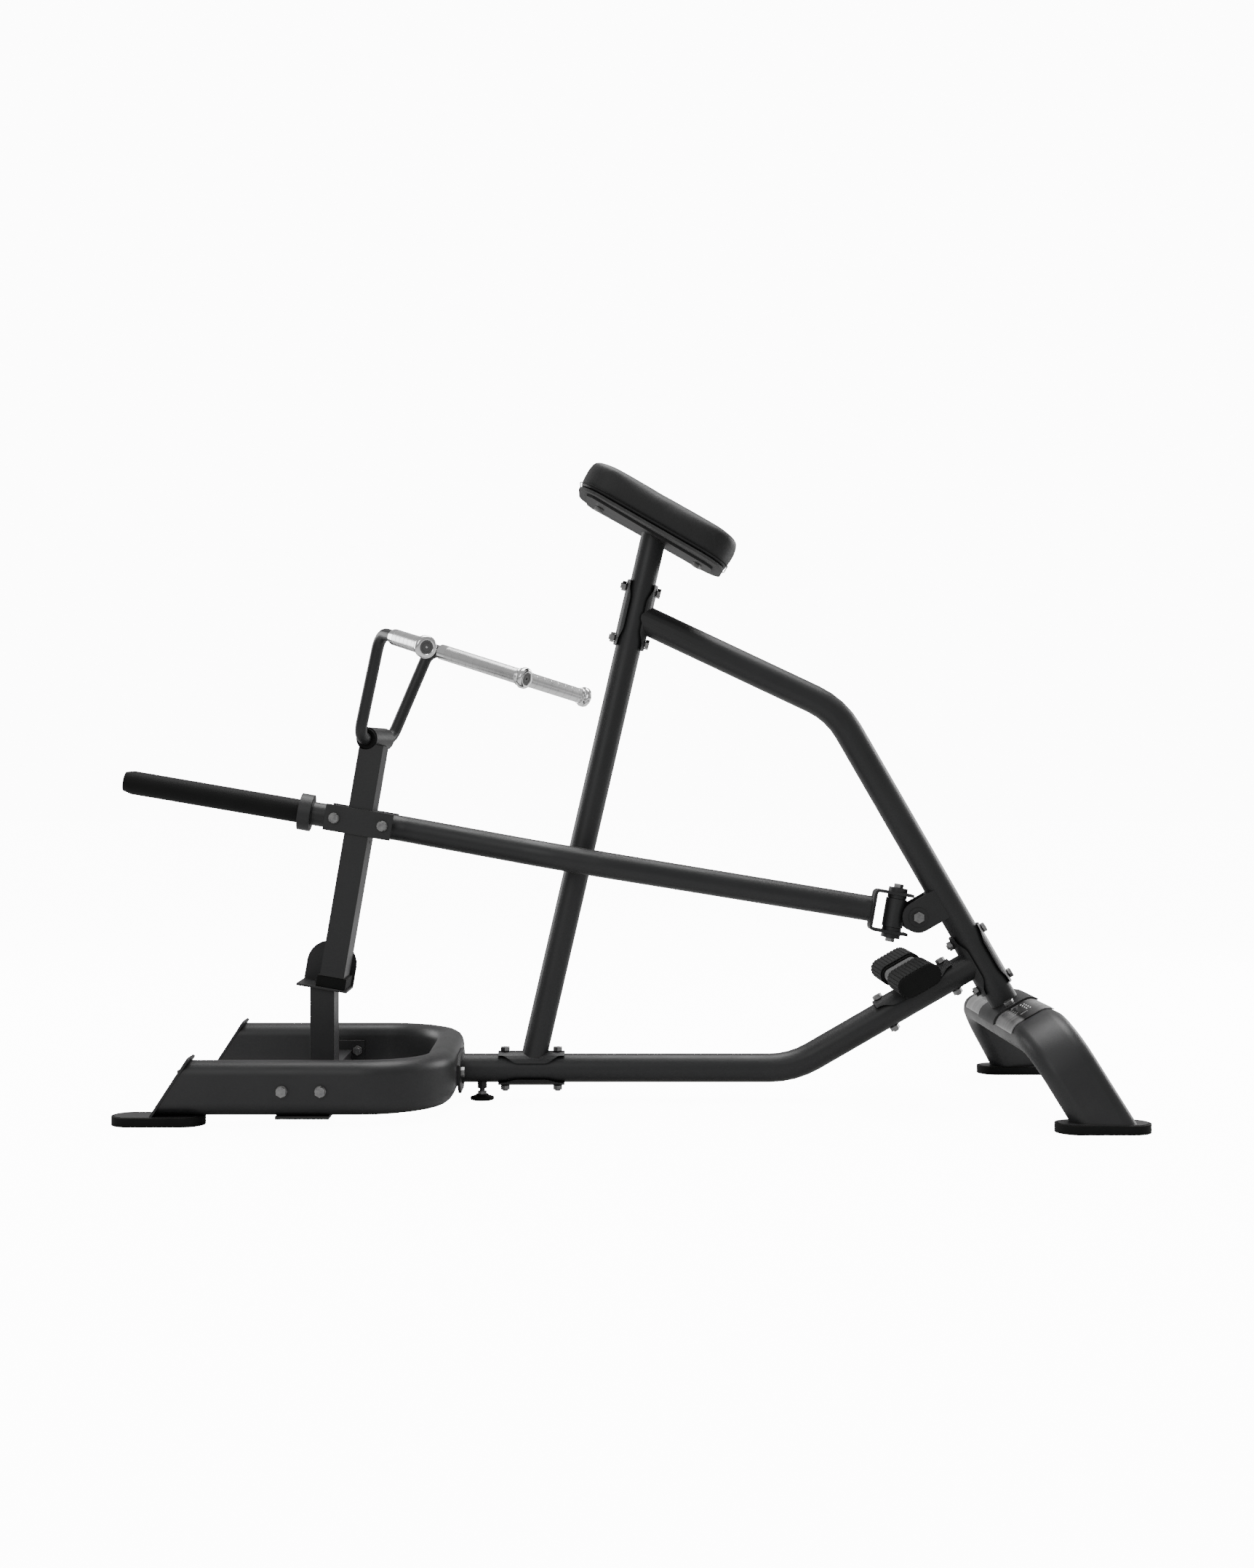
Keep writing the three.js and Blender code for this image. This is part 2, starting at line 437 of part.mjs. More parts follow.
// ---------------------------------------------------------------- floor rail
function floorRail() {
  const front = frontFace + GAP, under = RAIL_Z - RAIL_D / 2, levellerX = front + LEVELLER_BEHIND;
  const route = new Route([V(front + EPS / 2, 0, RAIL_Z), V(RAIL_BEND_X, 0, RAIL_Z), joint], RAIL_BEND, 10);
  // the saddle on the rear beam: x up along the beam, z toward the rail
  const saddleM = frame(joint, way(rear, 0, 0, 1), side, way(rear, -1, 0, 0));
  const hollow = boreOn(rear, "x", -2 * RAIL_D, 0, RAIL_D / 2 - TUBE_WALL - EPS, RINGS);
  const weldOn = saddle(saddleM, BEAM_D).subtract(hollow);
  let rail = join(pipe(W, route, RAIL_D, TUBE_WALL).subtract(cope(rear, "z", BEAM_D)), weldOn);
  // shield plate against the front base
  const h = SHIELD_WIDE / 2, z0 = RAIL_Z - SHIELD_BELOW, z1 = RAIL_Z + SHIELD_ABOVE;
  const half = [P(h * SHIELD_FOOT, SHIELD_BOTTOM), P(h, z0), P(h, z1), P(h * SHIELD_HEAD, SHIELD_TOP)];
  const shape = [...half, ...half.map((p) => P(-p.x, p.y)).reverse()];
  rail = join(rail, slab(frame(V(front, 0, 0), side, up, V(1, 0, 0)), shape, 0, SHIELD_T));
  for (const [k] of SIDES) {
    const holeM = movedTo(railM, 0, k * SHIELD_BOLT_Y, 0);
    rail = rail.subtract(boreOn(holeM, "x", front - EPS, front + SHIELD_T + EPS, BOLT_HOLE / 2));
  }
  // weld nut of the screw foot, and its hole
  const levellerM = new THREE.Matrix4().setPosition(V(levellerX, 0, 0)), nut = under - LEVELLER_NUT_T;
  rail = join(rail, rodOn(levellerM, "z", nut, under + TUBE_WALL - EPS / 2, LEVELLER_NUT / 2, 6));
  rail = rail.subtract(boreOn(levellerM, "z", nut - EPS, RAIL_Z, LEVELLER_STUD / 2 + GAP));
  // bolt holes under the post, under the foot bar
  const postBase = movedTo(railM, postFoot.x, 0, 0);
  for (const [m, pitch] of [[postBase, SADDLE_PITCH], [barBase, BAR_PLATE_PITCH]])
    for (const k of [-1, 1])
      rail = rail.subtract(boreOn(movedTo(m, (k * pitch) / 2, 0, 0), "z", -RAIL_D, RAIL_D, BOLT_HOLE / 2));
  add(fixed, "floor_rail", rail, charcoal);
  // backing plate behind the rear beam, and the bolts
  const backM = frame(joint, way(rear, 0, 0, 1), side.clone().negate(), way(rear, 1, 0, 0));
  add(fixed, "rail_backing_plate", backing(backM, BEAM_D), charcoal);
  const out = outside(BEAM_D);
  for (const [k, name] of [[-1, "lower"], [1, "upper"]]) {
    const head = in3(rear, out, 0, (k * SADDLE_PITCH) / 2);
    add(fixed, "rail_bolt_" + name, bolt(head, way(rear, -1, 0, 0), 2 * out), zinc);
  }
  for (const [i, [k]] of SIDES.entries())
    add(fixed, "shield_bolt_" + (i + 1),
      bolt(V(front + SHIELD_T, k * SHIELD_BOLT_Y, RAIL_Z), V(-1, 0, 0), SHIELD_T + GAP + BASE_WIDE), zinc);
  // screw foot in the weld nut
  const screw = join(rodOn(levellerM, "z", 0, LEVELLER_RIM, LEVELLER_PAD / 2),
    rodOn(levellerM, "z", LEVELLER_RIM - 0.01, LEVELLER_PAD_T, LEVELLER_PAD / 2, RINGS, LEVELLER_NECK / 2),
    rodOn(levellerM, "z", LEVELLER_PAD_T - EPS / 2, RAIL_Z - LEVELLER_TOP, LEVELLER_STUD / 2, SMALL));
  add(fixed, "screw_foot", screw, zinc);
}

// ---------------------------------------------------------------- post
function post() {
  const base = movedTo(railM, postFoot.x, 0, 0), out = outside(RAIL_D);
  const hollow = (r) => rod(along(postFoot, postUp, -EPS), postAt(POST_TOP_Z + PAD_LONG), r);
  let tube = rod(postFoot, postAt(POST_TOP_Z + PAD_WIDE), POST_D / 2).subtract(hollow(POST_D / 2 - TUBE_WALL));
  tube = cut(tube, cope(railM, "x", RAIL_D), block(W, -FAR, FAR, -FAR, FAR, -FAR, RAIL_Z),
    block(padM, -FAR, FAR, -FAR, FAR, -PAD_PLATE_T / 2, FAR));
  const sole = saddle(base, RAIL_D, { low: POST_SADDLE_LOW });
  tube = join(tube, sole.subtract(hollow(POST_D / 2 - TUBE_WALL - EPS)));
  // pad plate, tapering down the slope
  const x0 = PAD_SHIFT - PAD_PLATE_LONG / 2, x1 = PAD_SHIFT + PAD_PLATE_LONG / 2, c = PAD_PLATE_CHAMFER;
  const w0 = PAD_PLATE_WIDE / 2, w1 = PAD_PLATE_NARROW / 2;
  const half = [P(x0, w0 - c), P(x0 + c, w0), P(x1 - c, w1), P(x1, w1 - c)];
  const outline = [...half, ...half.map((p) => P(p.x, -p.y)).reverse()].reverse();
  tube = join(tube, slab(padM, outline, -PAD_PLATE_T, 0));
  const through = (b) => boreOn(b, "z", -2 * PAD_PLATE_T, PAD_PLATE_T, BOLT_HOLE / 2);
  tube = cut(tube, ...padBoltFrames().map(through));
  for (const k of [-1, 1]) {
    const p = along(postJoint, postUp, (k * SADDLE_PITCH) / 2);
    tube = tube.subtract(bore(along(p, postRear, -POST_D), along(p, postRear, POST_D), BOLT_HOLE / 2));
  }
  add(fixed, "post", tube, charcoal);
  const under = frame(postFoot, V(1, 0, 0), side.clone().negate(), up.clone().negate());
  add(fixed, "post_backing_plate", backing(under, RAIL_D), charcoal);
  for (const [k, name] of [[-1, "front"], [1, "rear"]]) {
    const head = in3(base, (k * SADDLE_PITCH) / 2, 0, out);
    add(fixed, "post_bolt_" + name, bolt(head, V(0, 0, -1), 2 * out), zinc);
  }
}
function padBoltFrames() {
  return [-1, 1].map((k) => movedTo(padM, PAD_SHIFT + (k * PAD_BOLT_PITCH) / 2, 0, 0));
}

// ---------------------------------------------------------------- chest pad
function chestPad() {
  const m = movedTo(padM, PAD_SHIFT, 0, GAP), foam = BOARD_T + GAP;
  const layer = (inset, z0, z1) =>
    slab(m, rounded(PAD_LONG - 2 * inset, PAD_WIDE - 2 * inset, PAD_CORNER - inset, 6), z0, z1);
  const holes = (m0, z0, z1) => padBoltFrames().map((b) => boreOn(b, "z", z0, z1, BOLT_HOLE / 2));
  add(fixed, "pad_board", cut(layer(BOARD_INSET, 0, BOARD_T), ...holes(m, -EPS, foam + EPS)), board);
  const soft = join(layer(0, foam, foam + PAD_T - PAD_CROWN),
    layer(PAD_CROWN_IN, foam + PAD_T - PAD_CROWN - 0.01, foam + PAD_T));
  const bolted = foam + GAP + PAD_BOLT_IN + PAD_BOLT_ROOM;
  add(fixed, "chest_pad", cut(soft, ...holes(m, 0, bolted)), vinyl);
  const names = ["upper", "lower"], grip = PAD_PLATE_T + foam + PAD_BOLT_IN, sizes = { nut: 0, tail: 0 };
  for (const [i, b] of padBoltFrames().entries())
    add(fixed, "pad_bolt_" + names[i], bolt(in3(b, 0, 0, -PAD_PLATE_T), way(b, 0, 0, 1), grip, sizes), zinc);
}

// ---------------------------------------------------------------- rear beam
function rearBeam() {
  const route = new Route([in3(crownM, 0, 0, -BASE_WIDE / 2), beamBend, postJoint], BEAM_BEND, 10);
  const toBend = beamBend.clone().sub(postJoint).normalize(), out = outside(POST_D);
  let beam = pipe(W, route, BEAM_D, TUBE_WALL).subtract(cope(movedTo(postM, 0, 0, 0), "z", POST_D));
  beam = beam.subtract(block(crownM, -FAR, FAR, -FAR, FAR, -FAR, GAP + CROWN_T / 2));
  // the saddle on the post: x up along the post, z toward the beam
  const saddleM = frame(postJoint, postUp, side.clone().negate(), postRear);
  const hollow = bore(postJoint, along(postJoint, toBend, 100), BEAM_D / 2 - TUBE_WALL - EPS, RINGS);
  beam = join(beam, saddle(saddleM, POST_D).subtract(hollow));
  // crown plate wrapped over the arch, welded to the beam's foot
  beam = join(beam, crownShell(CROWN_T, -CROWN_HALF, CROWN_HALF));
  for (const [k] of SIDES) beam = beam.subtract(crownHole(k));
  for (const k of [-1, 1]) {
    const holeM = movedTo(rear, 0, 0, (k * SADDLE_PITCH) / 2);
    beam = beam.subtract(boreOn(holeM, "x", -BEAM_D, BEAM_D, BOLT_HOLE / 2));
  }
  add(fixed, "rear_beam", beam, charcoal);
  const backM = frame(postJoint, postUp, side, postRear.clone().negate());
  add(fixed, "beam_backing_plate", backing(backM, POST_D), charcoal);
  for (const [k, name] of [[-1, "lower"], [1, "upper"]]) {
    const head = along(along(postJoint, postUp, (k * SADDLE_PITCH) / 2), postRear, out);
    add(fixed, "beam_bolt_" + name, bolt(head, postRear.clone().negate(), 2 * out), zinc);
  }
}
// a plate wrapped over the arch's crown between y0 and y1, its lips reaching down the sides
function crownShell(t, y0, y1) {
  const m = movedTo(crownM, 0, 0, -BASE_WIDE / 2);
  return plate(m, oval(GAP + t, 6), y0, y1).subtract(plate(m, oval(GAP, 6), y0 - EPS, y1 + EPS))
    .subtract(block(m, -FAR, FAR, -FAR, FAR, -FAR, BASE_WIDE / 2 - CROWN_LIP));
}
function crownHole(k) {
  return boreOn(movedTo(crownM, 0, k * CROWN_BOLT_Y, 0), "z", -2 * BASE_WIDE, BASE_WIDE, BOLT_HOLE / 2);
}

// ---------------------------------------------------------------- rear arch
function rearArch() {
  const drop = (crown.z - legFloor) / Math.cos(rad(LEAN)); // along the arch's plane to the foot plates
  const zc = -BASE_WIDE / 2, splay = Math.tan(rad(ARCH_SPLAY)), past = -drop - BASE_WIDE;
  const corner = ARCH_FOOT_Y - (drop + zc) * splay, footY = corner + (zc - past) * splay;
  // drawn flat in its own plane, x across the machine and y up the beam
  const flatM = frame(crown, side, way(crownM, 0, 0, 1), way(crownM, 1, 0, 0));
  const corners = [V(-footY, past, 0), V(-corner, zc, 0), V(corner, zc, 0), V(footY, past, 0)];
  let arch = swept(flatM, new Route(corners, ARCH_BEND, 7), oval(), oval(-BASE_WALL, 2))
    .subtract(block(W, -FAR, FAR, -FAR, FAR, -FAR, legFloor - EPS / 2));
  const footX = crown.x + drop * Math.sin(rad(LEAN));
  for (const [k, name] of SIDES) {
    arch = join(arch, footPlate(footX, k * ARCH_FOOT_Y)).subtract(crownHole(k));
    add(fixed, "rear_foot_" + name, foot(footX, k * ARCH_FOOT_Y), rubber);
  }
  add(fixed, "rear_arch", arch, charcoal);
  const straight = corner - ARCH_BEND * Math.tan(rad((90 - ARCH_SPLAY) / 2)) - EPS;
  const to = Math.min(STEP_TO, straight);
  for (const [k, name] of SIDES) {
    const [y0, y1] = k < 0 ? [-to, -STEP_FROM] : [STEP_FROM, to];
    add(fixed, "step_plate_" + name, crownShell(STEP_T, y0, y1), satin);
  }
  // bolts through the crown plate and the arch
  for (const [k, name] of SIDES)
    add(fixed, "crown_bolt_" + name, bolt(in3(crownM, 0, k * CROWN_BOLT_Y, GAP + CROWN_T),
      way(crownM, 0, 0, -1), GAP + CROWN_T + BASE_WIDE), zinc);
}

// ---------------------------------------------------------------- foot bar
function footBar() {
  const barM = movedTo(barBase, 0, 0, BAR_LIFT), out = outside(RAIL_D), wall = 2 * TUBE_WALL;
  const half = BAR_SLEEVE_GAP / 2 + BAR_SLEEVE_W, end = half - BAR_SLEEVE_END;
  let core = plate(barM, stadium(BAR_CORE_LONG, BAR_CORE_T), -end, end)
    .subtract(plate(barM, stadium(BAR_CORE_LONG - wall, BAR_CORE_T - wall), -half, half));
  // a long saddle under it, with a short web between
  const long = { long: BAR_PLATE_LONG, pitch: BAR_PLATE_PITCH, lip: BAR_PLATE_LIP, low: BAR_PLATE_LOW };
  const webTop = BAR_LIFT - BAR_CORE_T / 2 + EPS;
  const wx = BAR_WEB_LONG / 2, wy = BAR_WEB_WIDE / 2;
  core = join(core, saddle(barBase, RAIL_D, long), block(barBase, -wx, wx, -wy, wy, out - 2 * EPS, webTop));
  add(fixed, "foot_bar", core, charcoal);
  const fit = 2 * (GAP + 0.2), bored = stadium(BAR_CORE_LONG + fit, BAR_CORE_T + fit), ribbed = ribbedStadium();
  for (const [k, name] of SIDES) {
    const [y0, y1] = k < 0 ? [-half, -BAR_SLEEVE_GAP / 2] : [BAR_SLEEVE_GAP / 2, half];
    const [b0, b1] = k < 0 ? [-end - GAP, y1 + EPS] : [y0 - EPS, end + GAP];
    add(fixed, "foot_sleeve_" + name, plate(barM, ribbed, y0, y1).subtract(plate(barM, bored, b0, b1)), rubber);
  }
  for (const [k, name] of [[-1, "lower"], [1, "upper"]]) {
    const head = in3(barBase, (k * BAR_PLATE_PITCH) / 2, 0, out);
    add(fixed, "foot_bolt_" + name, bolt(head, way(barBase, 0, 0, -1), out + RAIL_D / 2), zinc);
  }
}
// the sleeve's outline: a stadium with a groove between ribs all round
function ribbedStadium() {
  const r = BAR_SLEEVE_T / 2, s = BAR_SLEEVE_LONG - BAR_SLEEVE_T, bend = Math.PI * r, total = 2 * (s + bend);
  const at = (d, deep) => {
    const q = ((d % total) + total) % total, rr = r - deep;
    if (q < s) return P(q - s / 2, -rr);
    if (q < s + bend) return P(s / 2 + rr * Math.sin((q - s) / r), -rr * Math.cos((q - s) / r));
    if (q < 2 * s + bend) return P(s / 2 - (q - s - bend), rr);
    return P(-s / 2 - rr * Math.sin((q - 2 * s - bend) / r), rr * Math.cos((q - 2 * s - bend) / r));
  };
  const step = total / BAR_RIBS, out = [];
  const across = [[0, 0], [0.72, 0], [0.8, BAR_RIB], [0.92, BAR_RIB]]; // along one rib and its groove
  for (let i = 0; i < BAR_RIBS; i++) out.push(...across.map(([f, deep]) => at(step * (i + f), deep)));
  return out;
}

// ---------------------------------------------------------------- hinge of the lever
function hinge() {
  const inBeam = in3(pinM, 0, 0, 0).applyMatrix4(rear.clone().invert()), d = -inBeam.x;
  const m = movedTo(rear, 0, 0, inBeam.z); // x square to the beam, the pin at -d
  const y0 = CLEVIS_GAP / 2, y1 = y0 + CLEVIS_T, r = BEAM_D / 2 + GAP, ring = y1 + CLEVIS_RING_T;
  const cheek = [P(0, -CLEVIS_R), P(0, CLEVIS_R)];
  for (let turn = 0; turn <= 180; turn += 15)
    cheek.push(P(-d - CLEVIS_R * Math.sin(rad(turn)), CLEVIS_R * Math.cos(rad(turn))));
  const behind = block(m, -r * 0.45, FAR, -FAR, FAR, -FAR, FAR); // keeps the shell to the beam's front
  const shell = boreOn(m, "z", -CLEVIS_R, CLEVIS_R, r + CLEVIS_SHELL_T, COPE)
    .intersect(block(m, -FAR, FAR, -y1 + EPS / 2, y1 - EPS / 2, -FAR, FAR));
  let clevis = join(plate(m, cheek, -y1, -y0), plate(m, cheek, y0, y1), shell);
  clevis = cut(clevis, behind, boreOn(m, "z", -CLEVIS_R - EPS, CLEVIS_R + EPS, r, COPE));
  for (const [k] of SIDES) clevis = join(clevis, rodOn(pinM, "y", k * (y1 - EPS / 2), k * ring, CLEVIS_RING));
  clevis = clevis.subtract(boreOn(pinM, "y", -ring - EPS, ring + EPS, PIN_D / 2 + GAP, RINGS));
  add(fixed, "pin_clevis", clevis, charcoal);
  const pinSizes = { d: PIN_D, af: 21, head: 8, nut: 10 };
  add(fixed, "hinge_pin", bolt(in3(pinM, 0, -ring, 0), side, 2 * ring, pinSizes), zinc);

  // carrier: a cross bush on the pin, welded to a standing bush for the swing bolt
  const half = y0 - CARRIER_PLAY, web = CARRIER_WEB / 2, yawM = movedTo(pinM, -YAW_BACK, 0, 0);
  let body = join(rodOn(pinM, "y", -half, half, CARRIER_BUSH_D / 2),
    rodOn(yawM, "z", -YAW_LONG / 2, YAW_LONG / 2, YAW_D / 2),
    block(pinM, -YAW_BACK, 0, -web, web, -web, web));
  body = cut(body, boreOn(pinM, "y", -half - EPS, half + EPS, PIN_D / 2 + GAP, RINGS),
    boreOn(yawM, "z", -YAW_LONG, YAW_LONG, YAW_BOLT / 2 + GAP, RINGS));
  add(carrier, "carrier", body, charcoal);
}

// ---------------------------------------------------------------- lever
const weldX = -YAW_BACK - YOKE_REACH; // back face of the yoke's web, where the lever tube starts
// yoke: one bent strap with bosses round the swing bolt
function yoke() {
  const yawM = movedTo(pinM, -YAW_BACK, 0, 0);
  const zi = YOKE_TALL / 2 - YOKE_T, zo = YOKE_TALL / 2, tail = -YAW_BACK + YOKE_TAIL;
  const turned = (r, z, x, t) => P(x + r + r * Math.cos(rad(t)), z - r + r * Math.sin(rad(t)));
  const bend = (r, z, x) => [90, 120, 150, 180].map((t) => turned(r, z, x, t));
  const outer = bend(YOKE_BEND, zo, weldX), inner = bend(YOKE_BEND - YOKE_T, zi, weldX + YOKE_T);
  const upper = [P(tail, zo), ...outer], lower = upper.map((p) => P(p.x, -p.y)).reverse();
  const within = [P(tail, -zi), ...inner.map((p) => P(p.x, -p.y)), ...inner.reverse(), P(tail, zi)];
  let strap = plate(pinM, [...upper, ...lower, ...within].reverse(), -YOKE_WIDE / 2, YOKE_WIDE / 2);
  const b0 = YAW_LONG / 2 + GAP + 0.4, b1 = zo + YAW_BOSS_T;
  for (const k of [-1, 1]) strap = join(strap, rodOn(yawM, "z", k * b0, k * b1, YAW_BOSS_D / 2));
  const sizes = { d: YAW_BOLT, af: 17.5, nut: 8, tail: 0 };
  add(arm, "swing_bolt", bolt(in3(yawM, 0, 0, b1), way(pinM, 0, 0, -1), 2 * b1, sizes), zinc);
  return strap.subtract(boreOn(yawM, "z", -b1 - EPS, b1 + EPS, YAW_BOLT / 2 + GAP, RINGS));
}
function bracketHole(k) {
  const m = movedTo(pinM, -UPRIGHT_BACK + (k * BRACKET_PITCH) / 2, 0, 0);
  return boreOn(m, "y", -UPRIGHT_Y, UPRIGHT_Y, BOLT_HOLE / 2);
}
// lever tube bowed toward -Y round the post, welded to the yoke
function leverTube() {
  const end = -UPRIGHT_BACK + UPRIGHT_X / 2 + GAP + BRACKET_WEB + GAP;
  const s1 = weldX - BOW_STRAIGHT, s2 = -UPRIGHT_BACK + BRACKET_PITCH / 2 + BOW_STRAIGHT;
  const corners = [V(weldX + EPS / 2, 0, 0), V(s1, 0, 0), V(BOW_FLAT - BOW_AT, -BOW, 0),
    V(-BOW_FLAT - BOW_AT, -BOW, 0), V(s2, 0, 0), V(end, 0, 0)];
  const bends = [BOW_BEND, BOW_BEND, BOW_BEND, BOW_END_BEND];
  const tube = pipe(pinM, new Route(corners, bends, 16), LEVER_D, TUBE_WALL);
  add(arm, "lever_tube", join(tube, yoke()).subtract(bracketHole(1)), charcoal);
}

// bracket round the upright: two side plates and two cross webs
function leverBracket() {
  const m = movedTo(pinM, -UPRIGHT_BACK, 0, 0);
  const x = BRACKET_LONG / 2, y = UPRIGHT_Y / 2 + GAP, z = BRACKET_TALL / 2;
  const w0 = UPRIGHT_X / 2 + GAP, w1 = w0 + BRACKET_WEB;
  const body = join(block(m, -x, x, -y - BRACKET_T, -y, -z, z), block(m, -x, x, y, y + BRACKET_T, -z, z),
    block(m, -w1, -w0, -y - EPS, y + EPS, -z, z), block(m, w0, w1, -y - EPS, y + EPS, -z, z));
  add(arm, "lever_bracket", cut(body, bracketHole(-1), bracketHole(1)), charcoal);
  for (const [k, name] of [[-1, "front"], [1, "rear"]])
    add(arm, "bracket_bolt_" + name, bolt(in3(m, (k * BRACKET_PITCH) / 2, -y - BRACKET_T, 0), side,
      2 * (y + BRACKET_T), { washer: WASHER_T, af: PLAIN_HEX }), zinc);
}

// upright with the handle's hub welded across its top
const hubYaw = rad(HANDLE_YAW);
const hubM = frame(in3(pinM, -UPRIGHT_BACK, 0, UPRIGHT_UP + HUB_D / 2),
  V(Math.cos(hubYaw), -Math.sin(hubYaw), 0), V(Math.sin(hubYaw), Math.cos(hubYaw), 0), up);
function upright() {
  const m = movedTo(pinM, -UPRIGHT_BACK, 0, 0), x = UPRIGHT_X / 2, y = UPRIGHT_Y / 2, wall = UPRIGHT_WALL;
  const hub = (r, half) => rodOn(hubM, "y", -half, half, r, RINGS);
  let body = cut(block(m, -x, x, -y, y, -UPRIGHT_DOWN, UPRIGHT_UP + HUB_D / 4),
    block(m, -x + wall, x - wall, -y + wall, y - wall, -UPRIGHT_DOWN - EPS, UPRIGHT_UP + HUB_D),
    hub(HUB_D / 2 - EPS, HUB_LONG));
  body = join(body, hub(HUB_D / 2, HUB_LONG / 2));
  const holeM = movedTo(m, 0, 0, -BRACKET_TALL / 2 - UPRIGHT_HOLE_BELOW);
  body = body.subtract(boreOn(holeM, "x", 0, UPRIGHT_X, UPRIGHT_HOLE / 2));
  body = body.subtract(boreOn(hubM, "y", -HUB_LONG, HUB_LONG, HANDLE_D / 2 + GAP, RINGS));
  add(arm, "upright", body, charcoal);
  const bx = BUMPER_X / 2, by = BUMPER_Y / 2, top = -UPRIGHT_DOWN - GAP;
  add(arm, "rest_bumper", block(m, -bx, bx, -by, by, top - BUMPER_T, top), rubber);
}

// loading horn: tube and collar, and a textured sleeve with a tapered cap
function horn() {
  const m = movedTo(pinM, -UPRIGHT_BACK, 0, 0), r = HORN_D / 2, core = r - SLEEVE_WALL;
  const root = -UPRIGHT_X / 2 - GAP - BRACKET_WEB - GAP, tip = -HORN_OUT, face = -COLLAR_OUT - COLLAR_T;
  const collar = rodOn(m, "x", face, -COLLAR_OUT, COLLAR_D / 2);
  let tube = join(rodOn(m, "x", tip + HORN_CAP, root, core), rodOn(m, "x", -COLLAR_OUT - EPS, root, r), collar);
  // a counterbore in the collar takes the sleeve's end
  const counter = rodOn(m, "x", face - EPS, face + SLEEVE_IN, r + GAP)
    .subtract(rodOn(m, "x", face - 2 * EPS, face + SLEEVE_IN + EPS, core));
  tube = cut(tube, rodOn(m, "x", tip, root + EPS, core - HORN_WALL), counter, bracketHole(-1));
  add(arm, "horn", tube, charcoal);
  const sleeve = join(rodOn(m, "x", tip + HORN_CAP, face + SLEEVE_IN - GAP, r),
    rodOn(m, "x", tip, tip + HORN_CAP + 0.01, r - HORN_CAP_TAPER, RINGS, r));
  add(arm, "horn_sleeve", sleeve.subtract(boreOn(m, "x", tip + HORN_CAP - GAP, 0, core + GAP, RINGS)), rubber);
}

// ---------------------------------------------------------------- handle
// one bent bar through the hub with a grip on each end, and a third grip on a spur from the far
// corner; the grips lie in one plane
function handle() {
  const centre = in3(hubM, 0, 0, 0);
  const inPlane = ([dx, dy]) => centre.clone().add(V(dx, dy, HANDLE_RISE - GRIP_FALL * dx + GRIP_CANT * dy));
  const nearTop = inPlane(NEAR_TOP), farTop = inPlane(FAR_TOP), farTurn = inPlane(FAR_TURN);
  const grips = [
    { name: "grip_near", from: nearTop, cap: inPlane(NEAR_CAP), start: HANDLE_BEND + GRIP_SHOULDER },
    { name: "grip_middle", from: farTop, cap: inPlane(MIDDLE_CAP), start: HANDLE_D + GRIP_CLEAR },
    { name: "grip_far", from: farTurn, cap: inPlane(FAR_CAP), start: HANDLE_BEND / 2 },
  ];
  for (const g of grips) {
    g.long = g.cap.distanceTo(g.from);
    g.way = g.cap.clone().sub(g.from).normalize();
    g.end = along(g.cap, g.way, -GRIP_CAP_T - 2 * GAP); // end of the bar inside the grip
  }
  const lows = [-HANDLE_HALF, HANDLE_HALF].map((y) => in3(hubM, 0, y, 0));
  const corners = [grips[0].end, nearTop, ...lows, farTop, farTurn, grips[2].end];
  const bent = pipe(W, new Route(corners, HANDLE_BEND, 6), HANDLE_D, 0, 14);
  add(bar, "handle_bar", join(bent, rod(farTop, grips[1].end, HANDLE_D / 2, 14)), charcoal);
  for (const g of grips) add(bar, g.name, grip(g), chrome);
}
// a knurled tube with a flared cap, slid over the bar's end
function grip({ from, way: direction, long, start }) {
  const at = (d) => along(from, direction, d), n = 18, cap = GRIP_CAP_D / 2, neck = long - GRIP_CAP_T;
  const rim = 4, flare = 8;
  const outer = join(rod(at(start), at(neck + rim), GRIP_D / 2, n),
    rod(at(neck), at(neck + flare), GRIP_D / 2 + EPS, n, cap),
    rod(at(neck + flare - 0.01), at(long - rim), cap, n),
    rod(at(long - rim - 0.01), at(long), cap, n, cap - rim));
  return cut(outer, bore(at(start - EPS), at(neck), HANDLE_D / 2 + GRIP_PLAY, 14),
    rod(at(long - 1.5), at(long + EPS), GRIP_DISC / 2, n), rod(at(long - flare), at(long + EPS), 2.2, SMALL));
}

frontBase();
crossMember();
restBracket();
floorRail();
post();
chestPad();
rearBeam();
rearArch();
footBar();
hinge();
leverTube();
leverBracket();
upright();
horn();
handle();

// ---------------------------------------------------------------- origin
// on the floor, under the middle of the machine
machine.updateMatrixWorld(true);
const extent = new THREE.Box3().setFromObject(machine);
machine.position.set(-(extent.min.x + extent.max.x) / 2, -(extent.min.y + extent.max.y) / 2, -extent.min.z);

export default machine;
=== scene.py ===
# %% [markdown]
# # A chest-supported lever machine
# The machine is a steel frame of bent tubes with a padded rest on top and a
# lever arm that carries plates. Its shapes come ready made as solids from a
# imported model, one for each welded or bolted piece. This notebook gives them
# their finishes and makes the soft and fine pieces round them.

# %% Load the model
import json
import math
import bpy
from mathutils import Matrix, Vector

